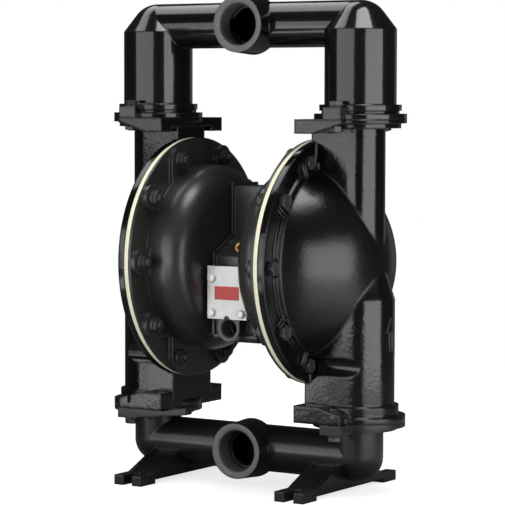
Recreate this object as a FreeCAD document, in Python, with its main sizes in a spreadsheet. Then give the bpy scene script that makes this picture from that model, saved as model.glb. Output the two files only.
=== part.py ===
import FreeCAD, Part

import os

import Sketcher

from FreeCAD import Placement, Rotation, Vector

# Air operated double diaphragm pump with 2 inch threaded ports, in millimetres.
# X runs along the diaphragm rod, the ports face -Y, Z is up.
# The origin is on the floor, under the middle of the rod, in the plane of the two columns.

os.makedirs("parts", exist_ok=True)
doc = FreeCAD.newDocument("diaphragm_pump")

SIZES = {
    # Heights of the main axes and of the four bolted joints
    "axis_height": 306.0,
    "column_offset": 162.0,
    "outlet_height": 623.5,
    "inlet_height": 48.5,
    "top_joint": 497.5,
    "bottom_joint": 98.0,
    # Clamped rim of the diaphragm and the flanges either side of it
    "bead_face": 98.0,
    "bead_thickness": 6.5,
    "flange_radius": 164.4,
    "bolt_circle": 145.0,
    "bolt_step": 36.0,
    "web_bolt_angle": 68.0,
    "cap_bolt_radius": 6.0,
    "cap_hole_radius": 6.6,
    "cap_bolt_width": 18.0,
    "cap_bolt_head": 7.5,
    "cap_nut_height": 9.0,
    # Bolts of the joints between the caps and the manifolds
    "bolt_radius": 5.0,
    "bolt_hole_radius": 5.5,
    "bolt_head_width": 16.0,
    "bolt_head_height": 6.4,
    "nut_height": 8.0,
    "thread_end": 4.0,
    "joint_thread_end": 1.0,
    "washer_radius": 9.5,
    "washer_thickness": 2.0,
    # Fluid cap: dome, flange and pockets round its bolts
    "cap_flange": 9.5,
    "plateau_radius": 139.0,
    "plateau_height": 4.0,
    "pocket_radius": 14.2,
    "dome_reach": 196.8,
    "dome_radius": 145.4,
    "dome_wall": 9.0,
    # Fluid cap: column and webs
    "upper_column_radius": 33.4,
    "lower_column_radius": 47.0,
    "taper_top": 5.0,
    "taper_bottom": 47.0,
    "upper_web_start": 107.0,
    "lower_web_start": 105.5,
    "passage_radius": 25.0,
    "neck_radius": 24.0,
    "passage_start": 119.0,
    # Bolted joint between a cap and a manifold
    "ring_radius": 61.5,
    "ring_thickness": 8.0,
    "top_ring_thickness": 5.5,
    "top_collar_radius": 54.0,
    "top_collar_height": 12.0,
    "bottom_collar_radius": 52.5,
    "bottom_collar_height": 21.5,
    "joint_bolt_offset": 65.0,
    "tab_front": 76.0,
    "tab_back": 50.0,
    "tab_inner": 106.0,
    "tab_outer": 176.0,
    "top_tab_inner_depth": 19.0,
    "top_tab_outer_depth": 6.0,
    "top_tab_taper_start": 133.0,
    "bottom_tab_inner_depth": 23.0,
    "bottom_tab_outer_depth": 14.0,
    "bottom_tab_taper_start": 143.0,
    "tab_plate": 12.0,
    "spotface_radius": 9.7,
    "top_grip": 8.5,
    "lug_half_width": 13.0,
    "lug_height": 15.5,
    "inlet_lug_half_width": 16.0,
    "inlet_lug_height": 13.5,
    # Outlet manifold
    "leg_radius": 47.75,
    "outlet_pipe_radius": 31.0,
    "crown_radius": 37.5,
    "shoulder_angle": 53.0,
    "outlet_ring_thickness": 7.0,
    "outlet_neck_radius": 51.5,
    "outlet_neck_height": 11.0,
    "outlet_band_radius": 54.5,
    "outlet_band_height": 19.0,
    "chamber_radius": 39.5,
    "chamber_top": 62.0,
    "chamber_cone": 30.0,
    "pipe_bore_radius": 24.0,
    "riser_bore_radius": 25.0,
    "port_bore_radius": 23.0,
    # Threaded ports
    "outlet_port_reach": 50.0,
    "inlet_port_reach": 52.0,
    "port_radius": 37.7,
    "port_root_radius": 40.5,
    "port_back": 8.0,
    "port_thread_radius": 28.5,
    "port_thread_depth": 27.0,
    "port_mouth_radius": 30.5,
    "port_chamfer": 2.5,
    # Inlet manifold
    "inlet_pipe_radius": 32.0,
    "elbow_radius": 32.6,
    "inlet_ring_thickness": 7.5,
    "inlet_collar_radius": 50.0,
    "inlet_collar_height": 12.0,
    "seat_ledge": 10.0,
    "bar_inner": 65.0,
    "bar_width": 15.0,
    "bar_height": 11.0,
    "bar_bend": 140.0,
    "bar_rise": 7.0,
    "bar_gap": 3.0,
    # Feet
    "foot_offset": 128.0,
    "foot_width": 44.0,
    "foot_length": 247.0,
    "foot_thickness": 13.5,
    "foot_arch": 5.5,
    "pad_length": 34.5,
    "slot_width": 14.0,
    "slot_length": 30.0,
    "rib_thickness": 7.0,
    "rib_foot_reach": 90.0,
    "rib_pipe_reach": 27.0,
    "foot_web_inset": 5.0,
    # Ball valves
    "ball_radius": 25.0,
    "ball_lift": 12.0,
    "ball_play": 1.3,
    "stop_gap": 0.3,
    "rib_width": 6.0,
    "stop_radius": 13.0,
    "stop_height": 7.0,
    "seat_radius": 43.0,
    "seat_height": 10.0,
    "seat_bore": 19.0,
    "seat_chamfer": 3.0,
    "seat_play": 0.1,
    "lower_chamber_radius": 36.0,
    "lower_chamber_top": 54.0,
    "oring_radius": 48.0,
    "oring_section": 1.8,
    # Air cap
    "air_flange": 3.5,
    "air_lug": 6.0,
    "air_lug_radius": 18.5,
    "lug_arm": 45.0,
    "drum_radius": 127.5,
    "drum_corner": 34.6,
    "drum_face": 36.0,
    "drum_wall": 8.5,
    # Centre body
    "gasket_thickness": 1.0,
    "gasket_inset": 3.0,
    "block_top": 99.0,
    "block_bottom": 96.0,
    "block_front": 53.0,
    "block_upper_front": 6.0,
    "block_back": 50.0,
    "slope_top": 29.0,
    "slope_bottom": 6.0,
    "end_rim_rise": 4.0,
    "end_rim_thickness": 3.7,
    "spigot_radius": 30.0,
    "spigot_end": 2.0,
    "spigot_play": 0.1,
    "body_screw_radius": 4.0,
    "screw_play": 0.5,
    "body_screw_head_radius": 6.5,
    "body_screw_head": 7.0,
    "body_screw_grip": 20.0,
    "screw_low": 72.0,
    "screw_high": 70.0,
    "screw_back": 36.0,
    "screw_front": 34.0,
    "screw_upper_front": 6.0,
    # Rod and its bearings
    "rod_radius": 14.0,
    "rod_play": 0.05,
    "rod_shoulder": 86.0,
    "stud_radius": 9.0,
    "stroke": 32.0,
    "bushing_radius": 18.0,
    "bushing_length": 16.0,
    "rod_seal_length": 4.0,
    "rod_nut_width": 30.0,
    "rod_nut_height": 11.0,
    "rod_nut_thread": 3.0,
    # Diaphragm and its clamp plates
    "plate_radius": 62.0,
    "outer_plate_radius": 60.0,
    "inner_plate_rim": 5.0,
    "inner_plate_flat": 52.0,
    "outer_plate_rim": 4.0,
    "outer_plate_hub": 11.5,
    "hub_flat_radius": 22.0,
    "fold_inner_radius": 68.0,
    "fold_outer_radius": 121.0,
    "fold_height": 15.0,
    "fold_thickness": 4.0,
    # Valve block, its cover and its spool
    "block_half_width": 31.0,
    "valve_low": 77.0,
    "valve_high": 6.0,
    "valve_depth": 17.0,
    "insert_half_width": 27.0,
    "insert_half_height": 16.0,
    "insert_depth": 29.0,
    "insert_drop": 44.0,
    "pocket_play": 0.3,
    "spool_back": 14.5,
    "sleeve_radius": 10.5,
    "sleeve_bore": 8.5,
    "sleeve_half_length": 21.0,
    "end_plug_length": 4.0,
    "spool_play": 0.05,
    "spool_half_length": 16.2,
    "spool_groove_radius": 5.5,
    "spool_groove_width": 7.0,
    "cover_thickness": 3.2,
    "cover_notch_radius": 4.5,
    "cover_screw_radius": 3.0,
    "cover_screw_head_radius": 5.6,
    "cover_screw_head": 5.0,
    "cover_screw_length": 30.0,
    "cover_screw_half_span": 23.5,
    "cover_screw_high": 22.5,
    "cover_screw_low": 69.0,
    "label_half_width": 19.2,
    "label_high": 33.0,
    "label_low": 51.0,
    "label_thickness": 0.4,
    # Air inlet, exhaust and pilot
    "air_inlet_drop": 90.0,
    "air_boss_radius": 17.5,
    "air_boss_reach": 70.0,
    "air_thread_radius": 12.2,
    "air_mouth_radius": 13.4,
    "air_thread_depth": 24.0,
    "air_bore_radius": 9.0,
    "air_bore_depth": 41.0,
    "air_riser_radius": 6.5,
    "air_riser_back": 29.0,
    "cross_tube_radius": 8.0,
    "cross_tube_drop": 102.0,
    "cross_tube_front": 46.0,
    "exhaust_boss_radius": 24.0,
    "exhaust_boss_length": 9.0,
    "exhaust_thread_radius": 13.3,
    "exhaust_thread_depth": 20.0,
    "exhaust_bore_radius": 10.0,
    "muffler_radius": 30.0,
    "muffler_length": 92.0,
    "muffler_neck_radius": 17.0,
    "muffler_neck_length": 8.0,
    "muffler_groove_depth": 3.0,
    "muffler_wall": 4.0,
    "pilot_radius": 5.0,
    "pilot_back": 26.0,
    "pilot_rise": 30.0,
    "pilot_travel": 3.0,
    "pilot_gap": 0.3,
    "pilot_play": 0.05,
    "pilot_bushing_radius": 8.0,
    "pilot_bushing_length": 13.0,
    "pilot_clearance": 1.5,
    "air_passage_radius": 7.0,
    "air_passage_back": 38.5,
    "plug_radius": 6.2,
    "plug_depth": 8.0,
    "plug_height": 2.0,
    "plug_socket_radius": 3.2,
    "plug_socket_depth": 4.0,
    "plug_boss_radius": 8.5,
    "plug_boss_face": 42.0,
    "plug_rise": 17.5,
}

sheet = doc.addObject("Spreadsheet::Sheet", "sizes")
for row, (alias, value) in enumerate(SIZES.items(), start=1):
    sheet.set(f"A{row}", alias)
    sheet.set(f"B{row}", str(value))
    sheet.setAlias(f"B{row}", alias)
doc.recompute()

# Turns that lay a piece's own Z axis along the axis named
UP = Rotation()
DOWN = Rotation(Vector(1, 0, 0), 180)
RIGHT = Rotation(Vector(0, 1, 0), 90)
LEFT = Rotation(Vector(0, 1, 0), -90)
FRONT = Rotation(Vector(1, 0, 0), 90)
BACK = Rotation(Vector(1, 0, 0), -90)
ALONG_X = Rotation(Vector(0, 0, 1), -90)
HALF_TURN = Rotation(Vector(0, 0, 1), 180)

ORIGIN = ("0", "0", "0")
SIDES = {"right": UP, "left": HALF_TURN}

nodes = {}


def size(formula):
    """Turn a formula in size names into one that reads the sheet."""
    words = sorted(SIZES, key=len, reverse=True)
    out = ""
    at = 0
    while at < len(formula):
        match = next((word for word in words if formula.startswith(word, at)), None)
        if match:
            out += "sizes." + match
            at += len(match)
        else:
            out += formula[at]
            at += 1
    return out


def amount(formula):
    """Work out a formula in size names as a plain number."""
    sheet.set("D1", "=" + formula)
    sheet.recompute()
    value = sheet.get("D1")
    return float(getattr(value, "Value", value))


def bind(item, **formulas):
    """Tie an object's own sizes to formulas in size names."""
    for name, formula in formulas.items():
        item.setExpression(name, size(formula))
    return item


def place(item, at, turn=UP):
    """Turn an object and tie its place to three formulas."""
    item.Placement = Placement(Vector(0, 0, 0), turn)
    for axis, formula in zip("xyz", at):
        if formula != "0":
            item.setExpression(f"Placement.Base.{axis}", size(formula))
    return item


def cylinder(name, radius, height, at=ORIGIN, turn=UP):
    """A cylinder from its base point along its own Z."""
    item = bind(doc.addObject("Part::Cylinder", name), Radius=radius, Height=height)
    return place(item, at, turn)


def cone(name, radius, end_radius, height, at=ORIGIN, turn=UP):
    """A cone from its base point along its own Z."""
    item = bind(doc.addObject("Part::Cone", name), Radius1=radius, Radius2=end_radius, Height=height)
    return place(item, at, turn)


def sphere(name, radius, at=ORIGIN):
    """A full sphere."""
    return place(bind(doc.addObject("Part::Sphere", name), Radius=radius), at)


def torus(name, radius, section, at=ORIGIN, turn=UP):
    """A ring of round section about its own Z."""
    return place(bind(doc.addObject("Part::Torus", name), Radius1=radius, Radius2=section), at, turn)


def block(name, size_x, size_y, size_z, at=ORIGIN, turn=UP):
    """A box from its low corner."""
    item = bind(doc.addObject("Part::Box", name), Length=size_x, Width=size_y, Height=size_z)
    return place(item, at, turn)


def prism(name, width, height, at=ORIGIN, turn=UP):
    """A hexagonal prism measured across its flats."""
    item = doc.addObject("Part::Prism", name)
    item.Polygon = 6
    bind(item, Circumradius=f"({width}) / 2 / cos(30)", Height=height)
    return place(item, at, turn)


def joined(name, items, at=ORIGIN, turn=UP):
    """One solid from several that meet."""
    item = doc.addObject("Part::MultiFuse", name)
    item.Shapes = items
    item.Refine = True
    return place(item, at, turn)


def cut(name, base, tools, at=ORIGIN, turn=UP):
    """The base without the tools."""
    item = doc.addObject("Part::Cut", name)
    item.Base = base
    item.Tool = tools[0] if len(tools) == 1 else joined(name + "_tools", tools)
    return place(item, at, turn)


def common(name, items, at=ORIGIN, turn=UP):
    """What several solids share."""
    item = doc.addObject("Part::MultiCommon", name)
    item.Shapes = items
    return place(item, at, turn)


def group(name, items, at=ORIGIN, turn=UP):
    """Separate solids of one kind kept as one sub-part."""
    item = doc.addObject("Part::Compound", name)
    item.Links = items
    return place(item, at, turn)


def plane_of(body, role):
    """One of a body's own origin planes."""
    return next(item for item in body.Origin.OriginFeatures if item.Role == role)


def outline_sketch(body, name, role, points):
    """A closed outline whose every corner is tied to a pair of formulas."""
    sketch = body.newObject("Sketcher::SketchObject", name)
    sketch.AttachmentSupport = [(plane_of(body, role), "")]
    sketch.MapMode = "FlatFace"
    corners = [Vector(amount(first), amount(second), 0) for first, second in points]
    for index, corner in enumerate(corners):
        sketch.addGeometry(Part.LineSegment(corner, corners[(index + 1) % len(corners)]), False)
    for index in range(len(points)):
        follower = (index + 1) % len(points)
        sketch.addConstraint(Sketcher.Constraint("Coincident", index, 2, follower, 1))
    for index, (first, second) in enumerate(points):
        for kind, axis_line, formula, value in (
            ("DistanceX", -2, first, corners[index].x),
            ("DistanceY", -1, second, corners[index].y),
        ):
            if formula == "0":
                sketch.addConstraint(Sketcher.Constraint("PointOnObject", index, 1, axis_line))
            else:
                number = sketch.addConstraint(Sketcher.Constraint(kind, -1, 1, index, 1, value))
                sketch.setExpression(f"Constraints[{number}]", size(formula))
    return sketch


def turned(name, outline, at=ORIGIN, turn=UP):
    """A piece turned about its own Z from corners given as radius and height."""
    body = doc.addObject("PartDesign::Body", name)
    sketch = outline_sketch(body, name + "_outline", "XZ_Plane", outline)
    turning = body.newObject("PartDesign::Revolution", name + "_turning")
    turning.Profile = sketch
    turning.ReferenceAxis = (sketch, ["V_Axis"])
    turning.Angle = 360
    body.Tip = turning
    return place(body, at, turn)


def padded(name, role, outline, length, at=ORIGIN, turn=UP):
    """A flat outline made thick, half to each side of its plane."""
    body = doc.addObject("PartDesign::Body", name)
    sketch = outline_sketch(body, name + "_outline", role, outline)
    pad = body.newObject("PartDesign::Pad", name + "_pad")
    pad.Profile = sketch
    pad.Midplane = True
    bind(pad, Length=length)
    body.Tip = pad
    return place(body, at, turn)


def keep(label, item):
    """Name an object as one sub-part."""
    item.Label = label
    nodes[label] = item
    return item


def bolt(name, head_width, head_height, radius, length, at, turn):
    """A hexagon bolt: its head stands on its own Z = 0, its shank points down."""
    head = prism(name + "_head", head_width, head_height)
    shank = cylinder(name + "_shank", radius, length, turn=DOWN)
    return joined(name, [head, shank], at, turn)


def nut(name, width, height, radius, at, turn):
    """A hexagon nut standing on its own Z = 0."""
    return cut(name, prism(name + "_hexagon", width, height), [cylinder(name + "_bore", radius, height)],
               at, turn)


def washer(name, radius, bore, thickness, at, turn):
    """A flat washer standing on its own Z = 0."""
    disc = cylinder(name + "_disc", radius, thickness)
    return cut(name, disc, [cylinder(name + "_bore", bore, thickness)], at, turn)


def bolt_turns():
    """How far round from the front each bolt of a diaphragm flange stands, in degrees."""
    front_to_back = ("0", "bolt_step", "web_bolt_angle", "180 - web_bolt_angle", "180 - bolt_step")
    return [f"({start} + {turn})" for start in ("0", "180") for turn in front_to_back]


def circle_places(along):
    """The places of the bolts round a diaphragm flange, at one station along the rod."""
    places = []
    for turn in bolt_turns():
        places.append((along, f"-bolt_circle * cos{turn}", f"axis_height - bolt_circle * sin{turn}"))
    return places


CAP_FACE = "(bead_face + bead_thickness)"
CAP_BACK = f"({CAP_FACE} + cap_flange)"
DOME_CENTRE = "(dome_reach - dome_radius)"
AIR_BACK = "(bead_face - air_flange)"
LUG_BACK = f"({AIR_BACK} - air_lug)"
BLOCK_FACE = "(drum_face - gasket_thickness)"
INNER_WALL = "(drum_face + drum_wall)"
SEAT_RISE = "sqrt(ball_radius ^ 2 - seat_bore ^ 2)"
BALL_TO_STOP = "(ball_lift + sqrt(ball_radius ^ 2 - stop_radius ^ 2) + stop_gap)"
TOP_BALL = f"(top_joint - seat_chamfer + {SEAT_RISE})"
LOW_BALL = f"(bottom_joint - seat_chamfer + {SEAT_RISE})"


def ball_cage(name, column, base, centre, chamber, height):
    """Four ribs that guide a ball and stop its lift, about the axis of a column."""
    ribs = []
    guide = "(ball_radius + ball_play)"
    for number in range(4):
        turn = Rotation(Vector(0, 0, 1), 45 + 90 * number)
        rail = block(f"{name}_rail_{number}", f"{chamber} + 1 - {guide}", "rib_width", height,
                     (guide, "-rib_width / 2", "0"))
        stop = block(f"{name}_stop_{number}", f"{chamber} + 1 - stop_radius", "rib_width", "stop_height",
                     ("stop_radius", "-rib_width / 2", f"{centre} - {base} + {BALL_TO_STOP}"))
        ribs.append(joined(f"{name}_rib_{number}", [rail, stop], (column, "0", base), turn))
    return ribs


def tabs(name, joint, inner_depth, outer_depth, taper_start, side):
    """A cap's end flange: two tapering bars with a plate between, above the joint (1) or below it (-1)."""
    sign = "" if side > 0 else "-"
    outline = [
        ("tab_inner", "0"),
        ("tab_outer", "0"),
        ("tab_outer", sign + outer_depth),
        (taper_start, sign + inner_depth),
        ("tab_inner", sign + inner_depth),
    ]
    flange = [
        padded(f"{name}_tab_{number}", "XZ_Plane", outline, "tab_front - tab_back",
               ("0", f"{end} * (tab_front + tab_back) / 2", joint))
        for number, end in enumerate((1, -1))
    ]
    low = joint if side > 0 else f"{joint} - tab_plate"
    flange.append(block(name + "_plate", "column_offset - tab_inner", "2 * tab_front", "tab_plate",
                        ("tab_inner", "-tab_front", low)))
    return flange


def fluid_cap(side, turn):
    """The outer casting of one pumping chamber, with its inlet and outlet column."""
    name = f"fluid_cap_{side}"
    top = "(top_joint - axis_height)"
    low = "(axis_height - bottom_joint)"
    dome = common(name + "_dome", [
        sphere(name + "_ball", "dome_radius", (DOME_CENTRE, "0", "axis_height")),
        cylinder(name + "_dome_half", "flange_radius", f"dome_reach - {CAP_FACE}",
                 (CAP_FACE, "0", "axis_height"), RIGHT),
    ])
    taper = ("column_offset", "0", "axis_height - taper_bottom")
    outside = [
        dome,
        cylinder(name + "_flange", "flange_radius", "cap_flange", (CAP_FACE, "0", "axis_height"), RIGHT),
        cylinder(name + "_plateau", "plateau_radius", "cap_flange + plateau_height",
                 (CAP_FACE, "0", "axis_height"), RIGHT),
        cylinder(name + "_upper_column", "upper_column_radius", f"{top} + taper_bottom", taper),
        cone(name + "_taper", "lower_column_radius", "upper_column_radius", "taper_bottom - taper_top",
             taper),
        cylinder(name + "_lower_column", "lower_column_radius", f"{low} - taper_bottom",
                 ("column_offset", "0", "bottom_joint")),
        block(name + "_upper_web", "column_offset - upper_web_start", "2 * upper_column_radius", top,
              ("upper_web_start", "-upper_column_radius", "axis_height")),
        block(name + "_lower_web", "column_offset - lower_web_start", "2 * lower_column_radius",
              f"{low} - taper_bottom", ("lower_web_start", "-lower_column_radius", "bottom_joint")),
        cylinder(name + "_top_ring", "ring_radius", "top_ring_thickness",
                 ("column_offset", "0", "top_joint - top_ring_thickness")),
        cylinder(name + "_top_collar", "top_collar_radius", "top_collar_height",
                 ("column_offset", "0", "top_joint - top_collar_height")),
        cylinder(name + "_bottom_ring", "ring_radius", "ring_thickness",
                 ("column_offset", "0", "bottom_joint")),
        cylinder(name + "_bottom_collar", "bottom_collar_radius", "bottom_collar_height",
                 ("column_offset", "0", "bottom_joint")),
    ]
    outside += tabs(name + "_top", "top_joint", "top_tab_inner_depth", "top_tab_outer_depth",
                    "top_tab_taper_start", -1)
    outside += tabs(name + "_bottom", "bottom_joint", "bottom_tab_inner_depth", "bottom_tab_outer_depth",
                    "bottom_tab_taper_start", 1)
    inside = [
        common(name + "_chamber", [
            sphere(name + "_chamber_ball", "dome_radius - dome_wall", (DOME_CENTRE, "0", "axis_height")),
            cylinder(name + "_chamber_half", "flange_radius", "dome_reach",
                     (CAP_FACE, "0", "axis_height"), RIGHT),
        ]),
        cylinder(name + "_upper_passage", "passage_radius", top, ("column_offset", "0", "axis_height")),
        block(name + "_web_passage", "column_offset - passage_start", "2 * passage_radius",
              f"{top} - 2 * seat_height", ("passage_start", "-passage_radius", "axis_height")),
        cylinder(name + "_top_seat", "seat_radius + seat_play", "seat_height",
                 ("column_offset", "0", "top_joint - seat_height")),
        cylinder(name + "_neck", "neck_radius", low, ("column_offset", "0", "bottom_joint")),
        cylinder(name + "_ball_chamber", "lower_chamber_radius", "lower_chamber_top",
                 ("column_offset", "0", "bottom_joint")),
    ]
    for number, spot in enumerate(circle_places(CAP_FACE)):
        inside.append(cylinder(f"{name}_hole_{number}", "cap_hole_radius", "cap_flange + plateau_height",
                               spot, RIGHT))
    for number, spot in enumerate(circle_places(CAP_BACK)):
        inside.append(cylinder(f"{name}_pocket_{number}", "pocket_radius", "dome_reach", spot, RIGHT))
    for number, front in enumerate(("joint_bolt_offset", "-joint_bolt_offset")):
        inside.append(cylinder(f"{name}_top_hole_{number}", "bolt_hole_radius", "top_tab_inner_depth",
                               ("column_offset", front, "top_joint - top_tab_inner_depth")))
        inside.append(cylinder(f"{name}_bottom_hole_{number}", "bolt_hole_radius", "bottom_tab_inner_depth",
                               ("column_offset", front, "bottom_joint")))
        inside.append(cylinder(f"{name}_top_spot_{number}", "spotface_radius", "top_tab_inner_depth + 5",
                               ("column_offset", front, "top_joint - top_grip - top_tab_inner_depth - 5")))
        inside.append(cylinder(f"{name}_bottom_spot_{number}", "spotface_radius",
                               "bottom_tab_inner_depth + 5",
                               ("column_offset", front, "bottom_joint + ring_thickness")))
    groove = cut(name + "_groove", torus(name + "_groove_ring", "oring_radius", "oring_section",
                                         ("column_offset", "0", "bottom_joint")),
                 [cylinder(name + "_groove_floor", "ring_radius", "oring_section",
                           ("column_offset", "0", "bottom_joint - oring_section"))])
    inside.append(groove)
    shell = cut(name + "_shell", joined(name + "_outside", outside), inside)
    cage = ball_cage(name + "_cage", "column_offset", "bottom_joint", LOW_BALL, "lower_chamber_radius",
                     "lower_chamber_top")
    keep(name, joined(name, [shell] + cage, turn=turn))


def drum(name, grow, length):
    """The deep round shell of an air cap, with its large rounded corner, drawn in by a wall."""
    radius = f"drum_radius - {grow}"
    outline = [("0", "0"), (radius, "0"), (radius, length), ("0", length)]
    body = turned(name, outline, (f"drum_face + {grow}", "0", "axis_height"), RIGHT)
    turning = body.Tip
    doc.recompute()
    edges = [
        f"Edge{number}" for number, edge in enumerate(turning.Shape.Edges, start=1)
        if edge.BoundBox.ZLength < 0.01 and edge.BoundBox.ZMax < 0.01 and edge.BoundBox.XLength > 100
    ]
    rounding = body.newObject("PartDesign::Fillet", name + "_rounding")
    rounding.Base = (turning, edges[:1])
    bind(rounding, Radius=f"drum_corner - {grow}")
    body.Tip = rounding
    return body


def air_cap(side, turn):
    """The inner casting of one pumping chamber, bolted to the fluid cap through the diaphragm rim."""
    name = f"air_cap_{side}"
    flip = "" if side == "right" else "-"
    outside = [
        drum(name + "_drum", "0", "bead_face - drum_face"),
        cylinder(name + "_flange", "flange_radius", "air_flange", (AIR_BACK, "0", "axis_height"), RIGHT),
    ]
    for number, spot in enumerate(circle_places(LUG_BACK)):
        outside.append(cylinder(f"{name}_lug_{number}", "air_lug_radius", "air_lug + air_flange", spot,
                                RIGHT))
        outside.append(lug_arm(f"{name}_arm_{number}", spot))
    inside = [
        drum(name + "_hollow", "drum_wall", "bead_face"),
        cylinder(name + "_spigot_hole", "spigot_radius + spigot_play", "bead_face",
                 ("0", "0", "axis_height"), RIGHT),
        cylinder(name + "_pilot_hole", "pilot_radius + pilot_clearance", "bead_face",
                 ("0", f"{flip}(pilot_back)", "axis_height + pilot_rise"), RIGHT),
        cylinder(name + "_air_hole", "air_passage_radius", "bead_face",
                 ("0", f"{flip}(-air_passage_back)", "axis_height - insert_drop"), RIGHT),
    ]
    for number, (spot_y, spot_z) in enumerate(screw_places()):
        inside.append(cylinder(f"{name}_screw_hole_{number}", "body_screw_radius + screw_play", "bead_face",
                               ("0", f"{flip}({spot_y})", spot_z), RIGHT))
    for number, spot in enumerate(circle_places("0")):
        inside.append(cylinder(f"{name}_hole_{number}", "cap_hole_radius", "2 * bead_face", spot, RIGHT))
    keep(name, cut(name, joined(name + "_outside", outside), inside, turn=turn))


def lug_arm(name, spot):
    """The straight arm from a bolt's lug to the drum, level for the outer bolts and upright for the rest."""
    along, front, up = spot
    thickness, width = "air_lug + air_flange", "2 * air_lug_radius"
    beside, above = amount(front), amount(f"{up} - axis_height")
    if abs(above) > abs(beside):
        start = up if above < 0 else f"{up} - lug_arm"
        return block(name, thickness, width, "lug_arm", (along, f"{front} - air_lug_radius", start))
    start = front if beside < 0 else f"{front} - lug_arm"
    return block(name, thickness, "lug_arm", width, (along, start, f"{up} - air_lug_radius"))


def screw_places():
    """Where the four screws stand that hold an air cap to the centre body."""
    return [
        ("-screw_front", "axis_height - screw_low"),
        ("screw_back", "axis_height - screw_low"),
        ("screw_back", "axis_height + screw_high"),
        ("screw_upper_front", "axis_height + screw_high"),
    ]


def joint_flange(name, column, joint, lug_half, lug_height, up):
    """A manifold's ring and its two bolt lugs at one joint, above it or below it."""
    lift = "0" if up else f"-{lug_height}"
    parts = []
    for number, (near, far) in enumerate((("-tab_front", "-tab_back"), ("tab_back", "tab_front"))):
        parts.append(block(f"{name}_lug_{number}", f"2 * {lug_half}", "tab_front - tab_back + 12", lug_height,
                           (f"{column} - {lug_half}", near if number == 0 else f"{near} - 12",
                            f"{joint} + {lift}")))
    return parts


def port(name, height, reach):
    """The outside of a threaded port boss that faces the front, and what is bored out of it."""
    mouth = ("0", f"-{reach}", height)
    boss = cone(name + "_boss", "port_radius", "port_root_radius", f"{reach} - port_back", mouth, BACK)
    bored = [
        cone(name + "_mouth", "port_mouth_radius", "port_thread_radius", "port_chamfer", mouth, BACK),
        cylinder(name + "_thread", "port_thread_radius", "port_thread_depth", mouth, BACK),
        cylinder(name + "_bore", "port_bore_radius", reach, mouth, BACK),
    ]
    return boss, bored


def outlet_manifold():
    """The top casting: two ball chambers joined by a pipe with the outlet port."""
    name = "outlet_manifold"
    crown = "(outlet_height + outlet_pipe_radius - crown_radius)"
    touch_radius = "(crown_radius * sin(shoulder_angle))"
    touch_height = f"({crown} + crown_radius * cos(shoulder_angle))"
    shoulder = f"({touch_height} - (leg_radius - {touch_radius}) * tan(shoulder_angle))"
    boss, inside = port(name + "_port", "outlet_height", "outlet_port_reach")
    outside = [
        boss,
        cylinder(name + "_pipe", "outlet_pipe_radius", "2 * column_offset",
                 ("-column_offset", "0", "outlet_height"), RIGHT),
    ]
    inside.append(cylinder(name + "_pipe_bore", "pipe_bore_radius", "2 * column_offset",
                           ("-column_offset", "0", "outlet_height"), RIGHT))
    cages = []
    for side, column in (("right", "column_offset"), ("left", "-column_offset")):
        tag = f"{name}_{side}"
        foot = (column, "0", "top_joint")
        outside += joint_flange(tag, column, "top_joint", "lug_half_width", "lug_height", True)
        outside += [
            cylinder(tag + "_ring", "ring_radius", "outlet_ring_thickness", foot),
            cylinder(tag + "_neck", "outlet_neck_radius", "outlet_neck_height", foot),
            cylinder(tag + "_band", "outlet_band_radius", "outlet_band_height - outlet_neck_height",
                     (column, "0", "top_joint + outlet_neck_height")),
            cylinder(tag + "_leg", "leg_radius", f"{shoulder} - top_joint", foot),
            cone(tag + "_shoulder", "leg_radius", touch_radius, f"{touch_height} - {shoulder}",
                 (column, "0", shoulder)),
            sphere(tag + "_crown", "crown_radius", (column, "0", crown)),
        ]
        inside += [
            cylinder(tag + "_chamber", "chamber_radius", "chamber_top", foot),
            cone(tag + "_funnel", "chamber_radius", "riser_bore_radius", "chamber_cone",
                 (column, "0", "top_joint + chamber_top")),
            cylinder(tag + "_riser", "riser_bore_radius", "outlet_height - top_joint", foot),
            sphere(tag + "_bend", "riser_bore_radius", (column, "0", "outlet_height")),
            torus(tag + "_groove", "oring_radius", "oring_section", foot),
        ]
        for number, front in enumerate(("joint_bolt_offset", "-joint_bolt_offset")):
            inside.append(cylinder(f"{tag}_hole_{number}", "bolt_hole_radius", "lug_height",
                                   (column, front, "top_joint")))
            inside.append(cylinder(f"{tag}_spot_{number}", "spotface_radius", "lug_height",
                                   (column, front, "top_joint + lug_height")))
        cages += ball_cage(tag + "_cage", column, "top_joint", TOP_BALL, "chamber_radius", "chamber_top")
    shell = cut(name + "_shell", joined(name + "_outside", outside), inside)
    keep(name, joined(name, [shell] + cages))


def foot_profile(inset):
    """The side view of a foot's tall part, as points in Y and Z, with both slopes drawn in by an inset."""
    return [
        (f"-rib_foot_reach + {inset}", "foot_arch"),
        (f"rib_foot_reach - {inset}", "foot_arch"),
        (f"rib_foot_reach - {inset}", "foot_thickness"),
        (f"rib_pipe_reach - {inset}", "inlet_height - 8"),
        (f"-rib_pipe_reach + {inset}", "inlet_height - 8"),
        (f"-rib_foot_reach + {inset}", "foot_thickness"),
    ]


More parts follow.
